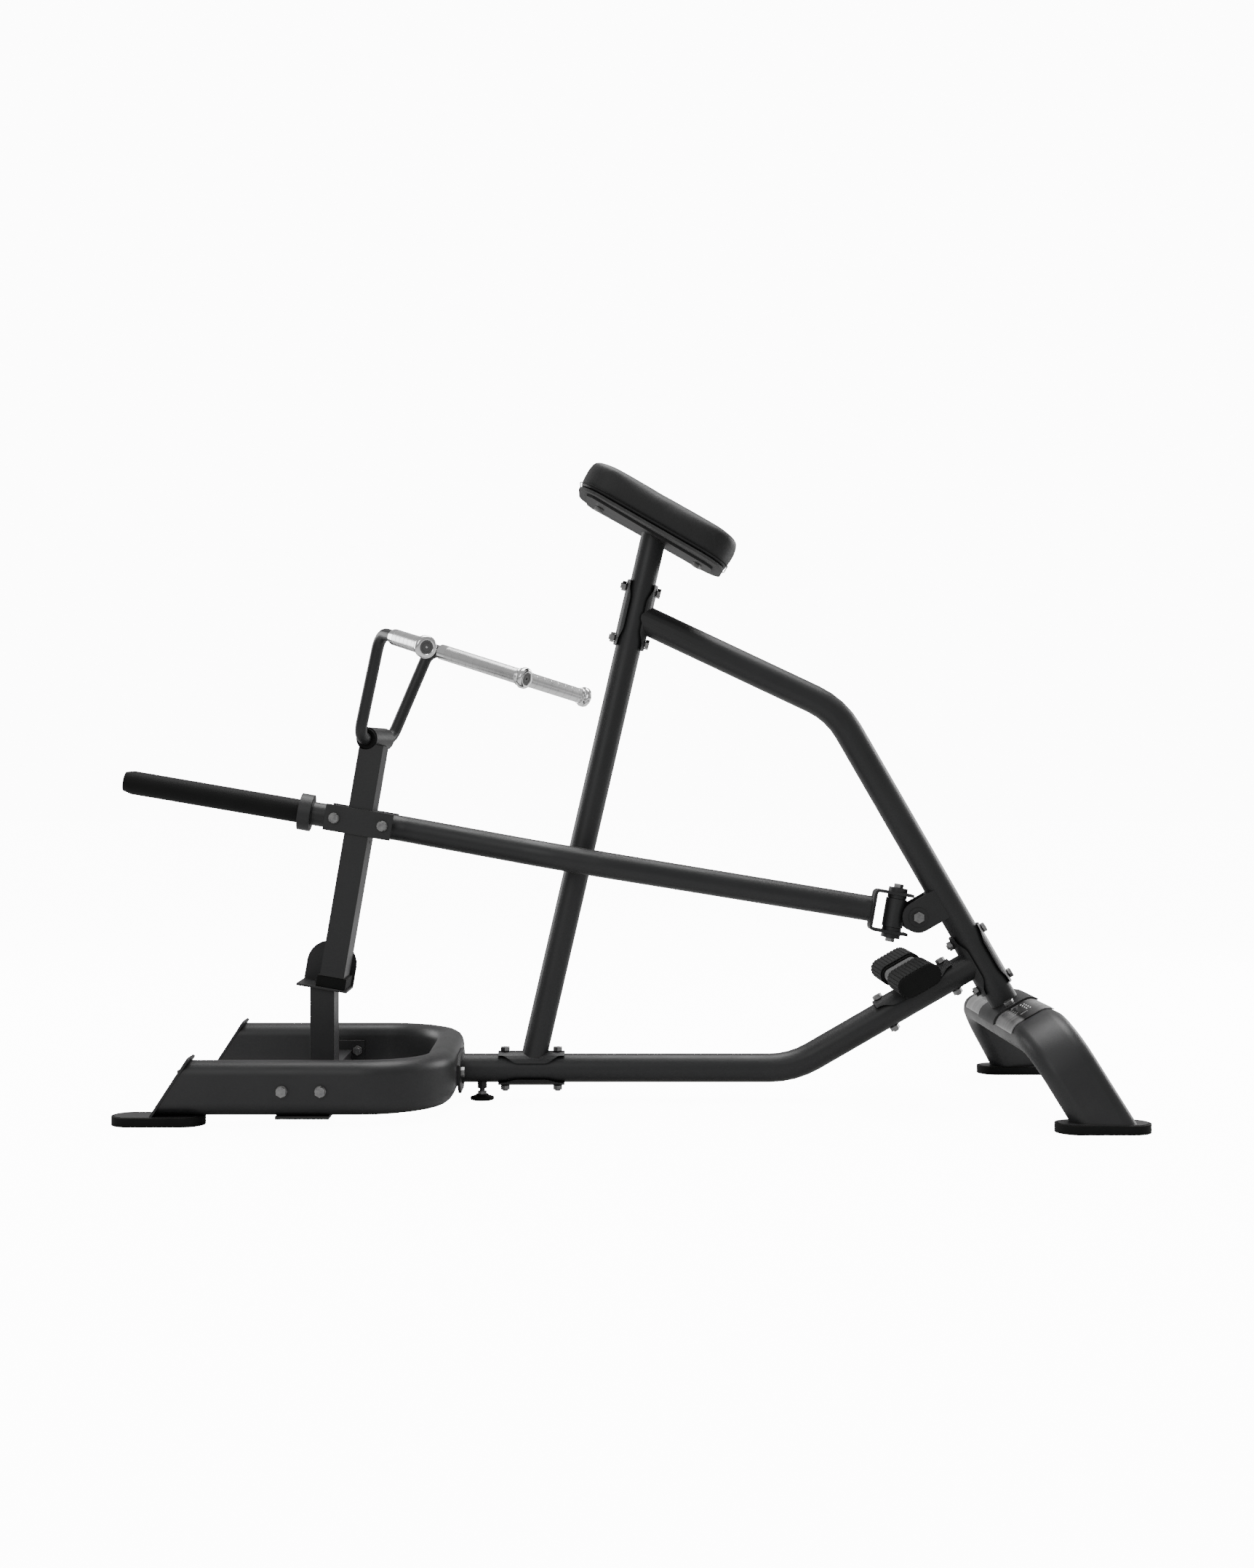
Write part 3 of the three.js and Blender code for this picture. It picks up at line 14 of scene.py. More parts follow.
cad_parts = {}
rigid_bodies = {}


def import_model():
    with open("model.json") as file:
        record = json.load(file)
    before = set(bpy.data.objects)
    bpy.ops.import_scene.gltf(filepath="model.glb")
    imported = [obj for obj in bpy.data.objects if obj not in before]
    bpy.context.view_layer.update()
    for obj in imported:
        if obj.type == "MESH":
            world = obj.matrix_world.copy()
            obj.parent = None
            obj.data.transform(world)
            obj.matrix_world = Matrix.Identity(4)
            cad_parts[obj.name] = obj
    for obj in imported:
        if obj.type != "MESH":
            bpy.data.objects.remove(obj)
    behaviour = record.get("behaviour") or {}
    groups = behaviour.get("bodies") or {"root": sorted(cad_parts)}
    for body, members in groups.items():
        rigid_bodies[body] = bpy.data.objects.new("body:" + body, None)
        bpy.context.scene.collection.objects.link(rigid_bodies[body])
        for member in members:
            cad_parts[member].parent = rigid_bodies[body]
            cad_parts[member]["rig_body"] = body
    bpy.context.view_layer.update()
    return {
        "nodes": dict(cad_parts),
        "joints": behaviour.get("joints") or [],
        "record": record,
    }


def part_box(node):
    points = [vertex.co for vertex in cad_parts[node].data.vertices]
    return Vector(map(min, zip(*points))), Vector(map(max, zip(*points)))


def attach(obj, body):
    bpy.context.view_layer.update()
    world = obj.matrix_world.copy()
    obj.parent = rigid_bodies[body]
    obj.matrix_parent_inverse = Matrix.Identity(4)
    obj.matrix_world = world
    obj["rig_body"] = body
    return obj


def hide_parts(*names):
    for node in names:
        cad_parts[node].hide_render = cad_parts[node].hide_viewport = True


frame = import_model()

nodes = frame["nodes"]
joints = {j["name"]: j for j in frame["joints"]}
mounts = {m["name"]: m for m in frame["record"]["mounts"]}
slot_of = {p["node"]: p["material_slot"] for p in frame["record"]["subparts"]}
print("nodes:", len(nodes))

# %% [markdown]
# ## Camera
# A long machine is best seen square from its side, so that every tube shows
# its true slope. The camera stands four metres off, at the height of the
# lever, level, and a small sideways shift sets the machine in the frame
# without turning the camera.

# %% Camera
view = bpy.data.cameras.new("side_view")
view.lens = 43.75
view.sensor_width = 36
view.shift_x = 0.01855
camera = bpy.data.objects.new("side_view", view)
camera.location = (-0.0283, -4.0, 0.662)
camera.rotation_euler = (math.radians(90), 0, 0)
bpy.context.scene.collection.objects.link(camera)
bpy.context.scene.camera = camera

# %% [markdown]
# ## Colours and nodes
# Paint charts give colours as sRGB hex values, and shaders work in linear
# light, so one function turns one into the other. A second one adds a shader
# node, sets its fields and joins its sockets: everything below is made of it.
# A socket is named by its label, with _ for a space, or by its number, as i0.

# %% Colour and node helpers
def tint(hex_value):
    parts = [int(hex_value[i:i + 2], 16) / 255 for i in (1, 3, 5)]
    return tuple(c / 12.92 if c <= 0.04045 else ((c + 0.055) / 1.055) ** 2.4 for c in parts) + (1,)


def node(tree, kind, fields=None, **sockets):
    made = tree.nodes.new(kind)
    for name, value in (fields or {}).items():
        setattr(made, name, value)
    for name, value in sockets.items():
        numbered = name[0] == "i" and name[1:].isdigit()
        socket = made.inputs[int(name[1:]) if numbered else name.replace("_", " ")]
        if isinstance(value, bpy.types.NodeSocket):
            tree.links.new(value, socket)
        else:
            socket.default_value = value
    return made


def finish(name):
    made = bpy.data.materials.new(name)
    made.use_nodes = True
    tree = made.node_tree
    return made, tree, tree.nodes["Principled BSDF"]


def ramp(tree, value, stops):
    made = node(tree, "ShaderNodeValToRGB", Fac=value)
    for stop, (place, colour) in zip(made.color_ramp.elements, stops):
        stop.position, stop.color = place, tint(colour)
    return made.outputs["Color"]


def spread(tree, value, low, high):
    return node(tree, "ShaderNodeMapRange", i0=value, i1=0.3, i2=0.7, i3=low, i4=high).outputs[0]

# %% [markdown]
# ## Powder coat
# The frame is powder coated: dry paint is baked on in one thick skin. It is
# even in colour, satin in gloss, and its surface has a faint orange peel
# about a millimetre across. That is too fine to show from four metres, so it
# is drawn three times as coarse.

# %% Powder coat
def powder_finish(name, dark, light):
    made, tree, skin = finish(name)
    place = node(tree, "ShaderNodeTexCoord").outputs["Object"]
    peel = node(tree, "ShaderNodeTexNoise", Vector=place, Scale=320.0, Detail=2.0, Roughness=0.5)
    cloud = node(tree, "ShaderNodeTexNoise", Vector=place, Scale=9.0, Detail=3.0, Roughness=0.6)
    tree.links.new(ramp(tree, cloud.outputs["Fac"], ((0.3, dark), (0.7, light))), skin.inputs["Base Color"])
    tree.links.new(spread(tree, cloud.outputs["Fac"], 0.40, 0.50), skin.inputs["Roughness"])
    bump = node(tree, "ShaderNodeBump", Height=peel.outputs["Fac"], Strength=0.12, Distance=0.0006)
    tree.links.new(bump.outputs["Normal"], skin.inputs["Normal"])
    skin.inputs["IOR"].default_value = 1.5
    return made


powder_coat = powder_finish("powder_coat_charcoal_satin", "#1f1f20", "#252526")
grey_coat = powder_finish("powder_coat_mid_grey", "#5a5a5a", "#646464")

# %% [markdown]
# ## Zinc plate
# Bolts and nuts are zinc plated: a thin grey metal skin with a soft shine
# and a slightly blotchy passivated surface.

# %% Zinc plate
zinc, tree, skin = finish("zinc_plated_steel")
place = node(tree, "ShaderNodeTexCoord").outputs["Object"]
blotch = node(tree, "ShaderNodeTexNoise", Vector=place, Scale=120.0, Detail=4.0, Roughness=0.6)
grey = ramp(tree, blotch.outputs["Fac"], ((0.3, "#7d7d7e"), (0.7, "#989897")))
tree.links.new(grey, skin.inputs["Base Color"])
tree.links.new(spread(tree, blotch.outputs["Fac"], 0.28, 0.42), skin.inputs["Roughness"])
skin.inputs["Metallic"].default_value = 1.0

# %% [markdown]
# ## Satin stainless
# The step plates on the rear arch are stainless sheet, brushed along the
# machine's length and wrapped over the tube, so they keep fine streaks
# across the crown. Painted shade is multiplied into the brushed colour: a
# dark band behind the front bend sets off the marks and fades out towards
# the rear.

# %% Satin stainless
stainless, tree, skin = finish("satin_stainless_sheet")
place = node(tree, "ShaderNodeTexCoord").outputs["Object"]
along = node(tree, "ShaderNodeMapping", Vector=place, Rotation=(0, math.radians(30), 0), Scale=(6, 420, 6))
streak = node(tree, "ShaderNodeTexNoise", Vector=along.outputs[0], Scale=1.0, Detail=3.0, Roughness=0.6)
brushed = ramp(tree, streak.outputs["Fac"], ((0.3, "#a8a8a8"), (0.7, "#cacaca")))
plate_low, plate_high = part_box("step_plate_near")
reach = node(tree, "ShaderNodeSeparateXYZ", Vector=place).outputs["X"]
share = node(tree, "ShaderNodeMapRange", i0=reach, i1=plate_low[0], i2=plate_high[0]).outputs[0]
# painted shade: this ramp along the plate's length is white, then dark just behind the front bend, then fades
# back to white towards the rear, and it darkens the brushed colour
band = node(tree, "ShaderNodeValToRGB", Fac=share)
stops = ((0.0, "#ffffff"), (0.26, "#f4f4f4"), (0.32, "#4c4c4c"), (0.62, "#8a8a8a"), (0.86, "#ffffff"))
for stop, colour in stops[2:]:
    band.color_ramp.elements.new(stop)
for element, (stop, colour) in zip(band.color_ramp.elements, stops):
    element.position, element.color = stop, tint(colour)
shaded = node(tree, "ShaderNodeMixRGB", {"blend_type": "MULTIPLY"}, Fac=1.0, Color1=brushed,
              Color2=band.outputs["Color"])
tree.links.new(shaded.outputs["Color"], skin.inputs["Base Color"])
tree.links.new(spread(tree, streak.outputs["Fac"], 0.30, 0.48), skin.inputs["Roughness"])
bump = node(tree, "ShaderNodeBump", Height=streak.outputs["Fac"], Strength=0.15, Distance=0.0003)
tree.links.new(bump.outputs["Normal"], skin.inputs["Normal"])
skin.inputs["Metallic"].default_value = 1.0

# %% [markdown]
# ## Chrome
# The grips are steel tube, knurled by a rolling wheel and then chromed: near
# white, mirror bright where plain, and frosted where the diamonds break up
# the reflections. Diamonds 1.2 mm across are drawn 2.4 mm, so that they show.
# The pattern runs on each grip's own unrolled surface, measured in metres.
# The discs in the caps are dull grey, so they are not metallic.

# %% Chrome
def chrome_finish(name, shade, rough, knurl):
    made, tree, skin = finish(name)
    skin.inputs["Metallic"].default_value = 1.0
    skin.inputs["Base Color"].default_value = tint(shade)
    place = node(tree, "ShaderNodeTexCoord").outputs["Object"]
    smear = node(tree, "ShaderNodeTexNoise", Vector=place, Scale=60.0, Detail=3.0, Roughness=0.5)
    tree.links.new(spread(tree, smear.outputs["Fac"], rough, rough + 0.07), skin.inputs["Roughness"])
    if knurl:
        flat = node(tree, "ShaderNodeUVMap").outputs["UV"]
        heights = []
        for turn in (45, -45):
            lean = node(tree, "ShaderNodeMapping", Vector=flat, Rotation=(0, 0, math.radians(turn)))
            wave = node(tree, "ShaderNodeTexWave", {"wave_profile": "TRI"}, Vector=lean.outputs[0],
                        Scale=130.0)
            heights.append(wave.outputs["Fac"])
        cross = node(tree, "ShaderNodeMath", {"operation": "MULTIPLY"}, i0=heights[0], i1=heights[1])
        bump = node(tree, "ShaderNodeBump", Height=cross.outputs[0], Strength=0.45, Distance=0.0006)
        tree.links.new(bump.outputs["Normal"], skin.inputs["Normal"])
    return made


chrome = chrome_finish("polished_chrome", "#f0f0f0", 0.06, False)
knurled_chrome = chrome_finish("knurled_chrome", "#e4e4e4", 0.26, True)
end_disc = chrome_finish("turned_grey_steel", "#565656", 0.5, False)
end_disc.node_tree.nodes["Principled BSDF"].inputs["Metallic"].default_value = 0.0

# %% [markdown]
# ## Rubber
# Feet, bumper and foot rollers are moulded rubber: nearly black, matt, with a
# fine cast grain and a dusty lighter bloom.

# %% Rubber
def rubber_finish(name, dark, light, grain, depth, rough):
    made, tree, skin = finish(name)
    place = node(tree, "ShaderNodeTexCoord").outputs["Object"]
    bloom = node(tree, "ShaderNodeTexNoise", Vector=place, Scale=25.0, Detail=4.0, Roughness=0.6)
    tree.links.new(ramp(tree, bloom.outputs["Fac"], ((0.3, dark), (0.7, light))), skin.inputs["Base Color"])
    skin.inputs["Roughness"].default_value = rough
    skin.inputs["Specular IOR Level"].default_value = 0.22
    cast = node(tree, "ShaderNodeTexVoronoi", Vector=place, Scale=grain)
    bump = node(tree, "ShaderNodeBump", Height=cast.outputs["Distance"], Strength=0.4, Distance=depth)
    tree.links.new(bump.outputs["Normal"], skin.inputs["Normal"])
    return made


rubber = rubber_finish("moulded_black_rubber", "#0a0a0a", "#111111", 700.0, 0.0003, 0.72)
horn_cover = rubber_finish("pebbled_horn_sleeve", "#060606", "#0d0d0d", 420.0, 0.0006, 0.62)

# %% [markdown]
# ## Pad vinyl and board
# The rest is covered in upholstery vinyl, a fabric-backed PVC embossed with a
# fine leather grain about 1.2 mm across. The board under it is black-stained
# plywood, dull and a little streaky.

# %% Vinyl and board
vinyl, tree, skin = finish("embossed_upholstery_vinyl")
place = node(tree, "ShaderNodeTexCoord").outputs["Object"]
grain = node(tree, "ShaderNodeTexVoronoi", {"feature": "SMOOTH_F1"}, Vector=place, Scale=620.0)
mottle = node(tree, "ShaderNodeTexNoise", Vector=place, Scale=170.0, Detail=5.0, Roughness=0.7)
black = ramp(tree, mottle.outputs["Fac"], ((0.35, "#101011"), (0.68, "#1d1d1e")))
tree.links.new(black, skin.inputs["Base Color"])
tree.links.new(spread(tree, mottle.outputs["Fac"], 0.50, 0.62), skin.inputs["Roughness"])
bump = node(tree, "ShaderNodeBump", Height=grain.outputs["Distance"], Strength=0.35, Distance=0.0005)
tree.links.new(bump.outputs["Normal"], skin.inputs["Normal"])

board, tree, skin = finish("stained_plywood_board")
place = node(tree, "ShaderNodeTexCoord").outputs["Object"]
along = node(tree, "ShaderNodeMapping", Vector=place, Scale=(40, 400, 40))
fibre = node(tree, "ShaderNodeTexNoise", Vector=along.outputs[0], Scale=1.0, Detail=4.0)
stain = ramp(tree, fibre.outputs["Fac"], ((0.3, "#3a3a3a"), (0.7, "#484848")))
tree.links.new(stain, skin.inputs["Base Color"])
skin.inputs["Roughness"].default_value = 0.7

# %% [markdown]
# ## Skins over the solids
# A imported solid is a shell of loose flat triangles. A copy of it with its
# doubles merged can be shaded smooth round its tubes and stay crisp on its
# cut edges, and a narrow bevel rounds those edges so that they catch light,
# as sheared and coated steel does.

# %% Skin helper
SMOOTH_UNDER, BEVEL_OVER = math.radians(32), math.radians(40)


def only(obj):
    bpy.ops.object.select_all(action="DESELECT")
    obj.select_set(True)
    bpy.context.view_layer.objects.active = obj


def skin_over(name, material, bevel):
    source = nodes[name]
    mesh = source.data.copy()
    piece = bpy.data.objects.new(name + "_skin", mesh)
    bpy.context.scene.collection.objects.link(piece)
    only(piece)
    bpy.ops.object.mode_set(mode="EDIT")
    bpy.ops.mesh.select_all(action="SELECT")
    bpy.ops.mesh.remove_doubles(threshold=0.00001)
    bpy.ops.mesh.dissolve_limited(angle_limit=math.radians(0.5))
    bpy.ops.object.mode_set(mode="OBJECT")
    soft = piece.modifiers.new("edge", "BEVEL")
    soft.width, soft.segments = bevel, 2
    soft.limit_method, soft.angle_limit = "ANGLE", BEVEL_OVER
    soft.use_clamp_overlap, soft.harden_normals = True, False
    bpy.ops.object.modifier_apply(modifier="edge")
    bpy.ops.object.shade_smooth_by_angle(angle=SMOOTH_UNDER)
    weigh = piece.modifiers.new("weigh", "WEIGHTED_NORMAL")
    weigh.keep_sharp = True
    bpy.ops.object.modifier_apply(modifier="weigh")
    mesh.materials.clear()
    mesh.materials.append(material)
    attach(piece, source["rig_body"])
    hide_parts(name)
    return piece

# %% Skins
# by slot: the finish, and the width of the rounding on its edges
coat = {"frame_paint": (powder_coat, 0.0008), "zinc_steel": (zinc, 0.0007), "satin_steel": (stainless, 0.0003),
        "black_rubber": (rubber, 0.0012), "horn_sleeve": (horn_cover, 0.0012), "pad_board": (board, 0.001)}
by_hand = {"chest_pad", "grip_near", "grip_middle", "grip_far", "handle_bar", "screw_foot"}
skins = {}
for name in sorted(nodes):
    if name not in by_hand:
        skins[name] = skin_over(name, *coat[slot_of[name]])
print("skins:", len(skins))

# %% [markdown]
# ## Places on the machine
# The lever lies 9.7 degrees below level at rest, the handle's hub is turned 16
# degrees, and the foot bar and the arch's crown slope 30 degrees. So pieces are
# easiest to make upright at the origin and then carried to a frame: a point,
# and the direction its own Z takes. The frames come from the joints and the
# mounts. The object's place is applied to its mesh at the end.

# %% Frames
pin = Vector(joints["lever_lift"]["pos_m"])
side = Vector((0, 1, 0))
lever_z = Vector(joints["lever_swing"]["axis"])
lever_x = side.cross(lever_z)
slope_z = Vector(mounts["step_near"]["axis"])
slope_x = side.cross(slope_z)
sleeve_low, sleeve_high = (Vector(corner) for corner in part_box("foot_sleeve_near"))
bar_centre = (sleeve_low + sleeve_high) / 2
bar_centre.y = 0
hub = Vector(joints["handle_tilt"]["pos_m"])
hub_way = -Vector(joints["handle_tilt"]["axis"])
print("pin:", [round(c, 4) for c in pin], "hub:", [round(c, 4) for c in hub])


def on_lever(x):
    return pin + lever_x * x


def settle(obj, origin, z_way, x_way=None):
    z_way = z_way.normalized()
    x_way = (x_way or z_way.orthogonal()).normalized()
    y_way = z_way.cross(x_way).normalized()
    turn = Matrix((y_way.cross(z_way), y_way, z_way)).transposed().to_4x4()
    turn.translation = origin
    obj.matrix_world = turn
    only(obj)
    bpy.ops.object.transform_apply(location=True, rotation=True, scale=True)


def dress(obj, name, body, materials, smooth=35, replaces=()):
    obj.name = obj.data.name = name
    for material in materials:
        obj.data.materials.append(material)
    only(obj)
    bpy.ops.object.shade_smooth_by_angle(angle=math.radians(smooth))
    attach(obj, body)
    if replaces:
        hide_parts(*replaces)
    return obj

# %% [markdown]
# ## Core of the foot bar
# The core of the foot bar, between its sleeves, is painted a mid grey, while
# the web under it is charcoal like the frame. Both are one welded piece, so
# the skin gets a second finish, and its faces take it by where they lie.

# %% Core of the foot bar
CORE_HALF, UNDER_SLEEVE = 0.0156, 0.002
bar_skin = skins["foot_bar"].data
bar_skin.materials.append(grey_coat)
for face in bar_skin.polygons:
    rise = (face.center - bar_centre).dot(slope_z)
    between = abs(face.center.y) < -sleeve_high.y + UNDER_SLEEVE
    face.material_index = int(rise > -CORE_HALF and between)
print("grey faces on the foot bar:", sum(face.material_index for face in bar_skin.polygons))

# %% [markdown]
# ## Turned pieces
# Grips, caps and screws are turned on a lathe: a round bar whose radius
# changes along its length. A ring of vertices does the same: it is extruded
# a step along the axis and scaled to the next radius, over and over, and the
# two ends are closed. A list of steps and radii is then the whole drawing.

# %% Turning helper
def turned(stations, sides=48):
    bpy.ops.object.select_all(action="DESELECT")
    first, radius = stations[0]
    bpy.ops.mesh.primitive_circle_add(vertices=sides, radius=radius, location=(0, 0, first))
    obj = bpy.context.active_object
    bpy.ops.object.transform_apply(location=True, rotation=True, scale=True)
    bpy.ops.object.mode_set(mode="EDIT")
    bpy.ops.mesh.select_all(action="SELECT")
    for step, next_radius in stations[1:]:
        bpy.ops.mesh.extrude_region_move(TRANSFORM_OT_translate={"value": (0, 0, step - first)})
        ratio = next_radius / radius
        bpy.ops.transform.resize(value=(ratio, ratio, 1), center_override=(0, 0, step))
        first, radius = step, next_radius
    bpy.ops.mesh.select_all(action="SELECT")
    bpy.ops.mesh.fill_holes(sides=0)
    bpy.ops.mesh.normals_make_consistent(inside=False)
    bpy.ops.object.mode_set(mode="OBJECT")
    return obj


def unroll(obj, sides, radius):
    sheet = obj.data.uv_layers.new(name="unrolled")
    for face in obj.data.polygons:
        turns = [math.atan2(obj.data.vertices[v].co.y, obj.data.vertices[v].co.x) for v in face.vertices]
        for loop, turn in zip(face.loop_indices, turns):
            if max(turns) - min(turns) > math.pi and turn < 0:
                turn += 2 * math.pi
            sheet.data[loop].uv = (turn * radius, obj.data.vertices[obj.data.loops[loop].vertex_index].co.z)

# %% [markdown]
# ## Grips
# Each grip is a knurled tube with fine ring lines every 20 mm, a plain collar
# at its start with two set screws, and a flared end cap with a steel disc
# and a screw hole. One turned piece holds it all, and its faces take the
# plain or the knurled finish by where they lie.

# %% Grip plan
HANDLE_RISE, GRIP_FALL, GRIP_CANT = 0.2274, 0.3175, 0.0435


def on_grips(dx, dy):
    return hub + Vector((dx, dy, HANDLE_RISE - GRIP_FALL * dx + GRIP_CANT * dy))


near_top, far_top, far_turn = on_grips(0.024, -0.110), on_grips(0.106, 0.110), on_grips(0.264, 0.167)
grip_plan = {
    "grip_near": (near_top, on_grips(0.137, -0.319), 0.078),
    "grip_middle": (far_top, on_grips(0.320, -0.037), 0.031),
    "grip_far": (far_turn, on_grips(0.441, 0.310), 0.017),
}
GRIP_R, CAP_LONG, COLLAR_LONG, LINE_PITCH = 0.0165, 0.022, 0.022, 0.020

# the cap from its neck outwards and back into its face: mm along, mm of radius
CAP_DRAWN = ((-2.5, 16.5), (-2.4, 15.4), (-0.2, 15.4), (0, 18.2), (0.8, 18.8), (3.2, 18.8), (4, 18.2),
             (4.2, 16.8), (5.8, 16.8), (7.5, 19.4), (9.2, 21.8), (10.5, 22.5), (17, 22.5), (19.5, 21.6),
             (21.2, 19.8), (22, 17.8), (21.8, 14.4), (20.8, 13.4), (20.6, 9.2), (20.2, 9.0), (20.2, 8.6),
             (20.6, 8.4), (20.6, 2.3), (14, 2.2))


def grip_stations(long, start):
    neck = long - CAP_LONG
    drawn = [(start, 0.0129), (start, GRIP_R - 0.0008), (start + 0.0008, GRIP_R)]
    place = start + COLLAR_LONG
    while place < neck - 0.008:
        for step, sink in ((0, 0), (0.0003, 0.0006), (0.0011, 0.0006), (0.0014, 0)):
            drawn.append((place + step, GRIP_R - sink))
        place += LINE_PITCH
    return drawn + [(neck + step / 1000, radius / 1000) for step, radius in CAP_DRAWN], neck

# %% Grips
SCREW_DRAWN = [(0.0155, 0.0018), (0.0166, 0.0018), (0.0167, 0.0014), (0.0160, 0.0007)]
SCREW_UP = 0.009
for name, (origin, cap_face, start) in grip_plan.items():
    way = cap_face - origin
    stations, neck = grip_stations(way.length, start)
    grip = turned(stations, 56)
    unroll(grip, 56, GRIP_R)
    for face in grip.data.polygons:
        height, reach = face.center.z, math.hypot(face.center.x, face.center.y)
        if height > neck + 0.0195 and (reach < 0.0134 or face.area > 1e-4):
            face.material_index = 2
        elif start + COLLAR_LONG < height < neck - 0.0026:
            face.material_index = 1
    settle(grip, origin, way)
    dress(grip, name + "_turned", "handle", (chrome, knurled_chrome, end_disc), 38, (name,))
    for turn in (-0.5, 0.9):
        screw = turned(SCREW_DRAWN, 16)
        screw.matrix_world = Matrix.Rotation(turn, 4, "Z") @ Matrix.Rotation(math.pi / 2, 4, "Y")
        only(screw)
        bpy.ops.object.transform_apply(location=True, rotation=True, scale=True)
        settle(screw, origin + way.normalized() * (start + SCREW_UP), way)
        dress(screw, f"{name}_set_screw_{'a' if turn < 0 else 'b'}", "handle", (end_disc,))
    print(name, "mm:", round((way.length - start) * 1000), "faces:", len(grip.data.polygons))

# %% [markdown]
# ## Handle bar
# The handle is one 25 mm bar bent cold round a former, with a spur welded on
# for the middle grip. A curve with a round bevel is the quickest bent bar:
# its points follow straight runs joined by arcs, and it is made a mesh before
# it takes its finish.

# %% Handle bar
BAR_R, BAR_BEND, BAR_HALF = 0.0125, 0.034, 0.088


def bent(corners, radius, steps=12):
    points = [corners[0]]
    for before, corner, after in zip(corners, corners[1:], corners[2:]):
        a, b = (corner - before).normalized(), (after - corner).normalized()
        turn = a.angle(b)
        reach = radius * math.tan(turn / 2)
        inward = (b - a * a.dot(b)).normalized()
        centre = corner - a * reach + inward * radius
        for i in range(steps + 1):
            angle = turn * i / steps
            points.append(centre - inward * radius * math.cos(angle) + a * radius * math.sin(angle))
    return points + [corners[-1]]


def grip_end(name):
    origin, cap_face, _ = grip_plan[name]
    return cap_face - (cap_face - origin).normalized() * (CAP_LONG + 0.001)


lows = [hub - hub_way * BAR_HALF, hub + hub_way * BAR_HALF]
bar_corners = [grip_end("grip_near"), near_top, *lows, far_top, far_turn, grip_end("grip_far")]
line = bpy.data.curves.new("handle_bar_line", "CURVE")
line.dimensions, line.use_fill_caps = "3D", True
line.bevel_depth, line.bevel_resolution = BAR_R, 7
for run in (bent(bar_corners, BAR_BEND), [far_top, grip_end("grip_middle")]):
    spline = line.splines.new("POLY")
    spline.points.add(len(run) - 1)
    for point, place in zip(spline.points, run):
        point.co = (*place, 1)
bar = bpy.data.objects.new("handle_bar_bent", line)
bpy.context.scene.collection.objects.link(bar)
only(bar)
bpy.ops.object.convert(target="MESH")
bar = bpy.context.active_object
dress(bar, "handle_bar_bent", "handle", (powder_coat,), 40, ("handle_bar",))
print("bar faces:", len(bar.data.polygons))

# %% [markdown]
# ## Hub bushes
# The bar turns in the hub on two black nylon bushes, whose flanges show as
# dark rings at the hub's ends. Each is a short turned ring with a soft rim.

# %% Hub bushes
for name, way in (("near", -hub_way), ("far", hub_way)):
    bush = turned([(0.0445, 0.0132), (0.0462, 0.0215), (0.0490, 0.0220), (0.0505, 0.0208), (0.0508, 0.0150),
                   (0.0500, 0.0132)], 40)
    settle(bush, hub, way)
    dress(bush, "hub_bush_" + name, "lever", (rubber,))

# %% [markdown]
# ## Screw foot
# A screw foot is a pressed base with a domed top on an M12 stud. The stud's
# thread, 1.75 mm in pitch, would be a helix; rings of the same pitch and
# depth look the same from anywhere but close by and need no twist.

# %% Screw foot
foot_low, foot_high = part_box("screw_foot")
foot_axis = Vector(((foot_low[0] + foot_high[0]) / 2, 0, 0))
THREAD, STUD_CREST, STUD_ROOT, BASE_TOP = 0.00175, 0.0060, 0.0050, 0.0121
stations = [(0, 0.0225), (0.0006, 0.0242), (0.0020, 0.0250), (0.0052, 0.0250), (0.0066, 0.0240),
            (0.0082, 0.0190), (0.0096, 0.0140), (0.0120, 0.0128), (0.0122, 0.0095), (0.0180, 0.0095),
            (0.0182, 0.0060)]
place = 0.0190
while place < foot_high[2] - THREAD:
    stations += [(place, STUD_CREST), (place + THREAD / 2, STUD_ROOT)]
    place += THREAD
screw_foot = turned(stations, 36)
for face in screw_foot.data.polygons:
    face.material_index = 0 if face.center.z < BASE_TOP else 1
settle(screw_foot, foot_axis, Vector((0, 0, 1)), Vector((1, 0, 0)))
dress(screw_foot, "screw_foot_turned", "screw", (rubber, zinc), 40, ("screw_foot",))

# %% [markdown]
# ## Sleeve end caps
# The ribbed foot sleeves are closed by moulded end caps, smooth and a little
# domed. A plane with its corners rounded to the sleeve's oval is extruded and
# inset, which leaves a raised rim round a shallow dish.

# %% Sleeve end caps
def rounded_plate(long, wide, corner, thick, steps=10):
    bpy.ops.object.select_all(action="DESELECT")
    bpy.ops.mesh.primitive_plane_add(size=1)
    obj = bpy.context.active_object
    obj.scale = (long, wide, 1)
    bpy.ops.object.transform_apply(location=True, rotation=True, scale=True)
    bpy.ops.object.mode_set(mode="EDIT")
    bpy.ops.mesh.select_all(action="SELECT")
    bpy.ops.mesh.bevel(affect="VERTICES", offset=corner, segments=steps, profile=0.5)
    bpy.ops.mesh.select_all(action="SELECT")
    bpy.ops.mesh.remove_doubles(threshold=0.0001)
    bpy.ops.mesh.extrude_region_move(TRANSFORM_OT_translate={"value": (0, 0, thick)})
    bpy.ops.object.mode_set(mode="OBJECT")
    return obj


def pick_top(obj):
    top = max(face.center.z for face in obj.data.polygons)
    for part in (obj.data.vertices, obj.data.edges, obj.data.polygons):
        part.foreach_set("select", [False] * len(part))
    for face in obj.data.polygons:
        face.select = face.center.z > top - 1e-6 and face.normal.z > 0.9


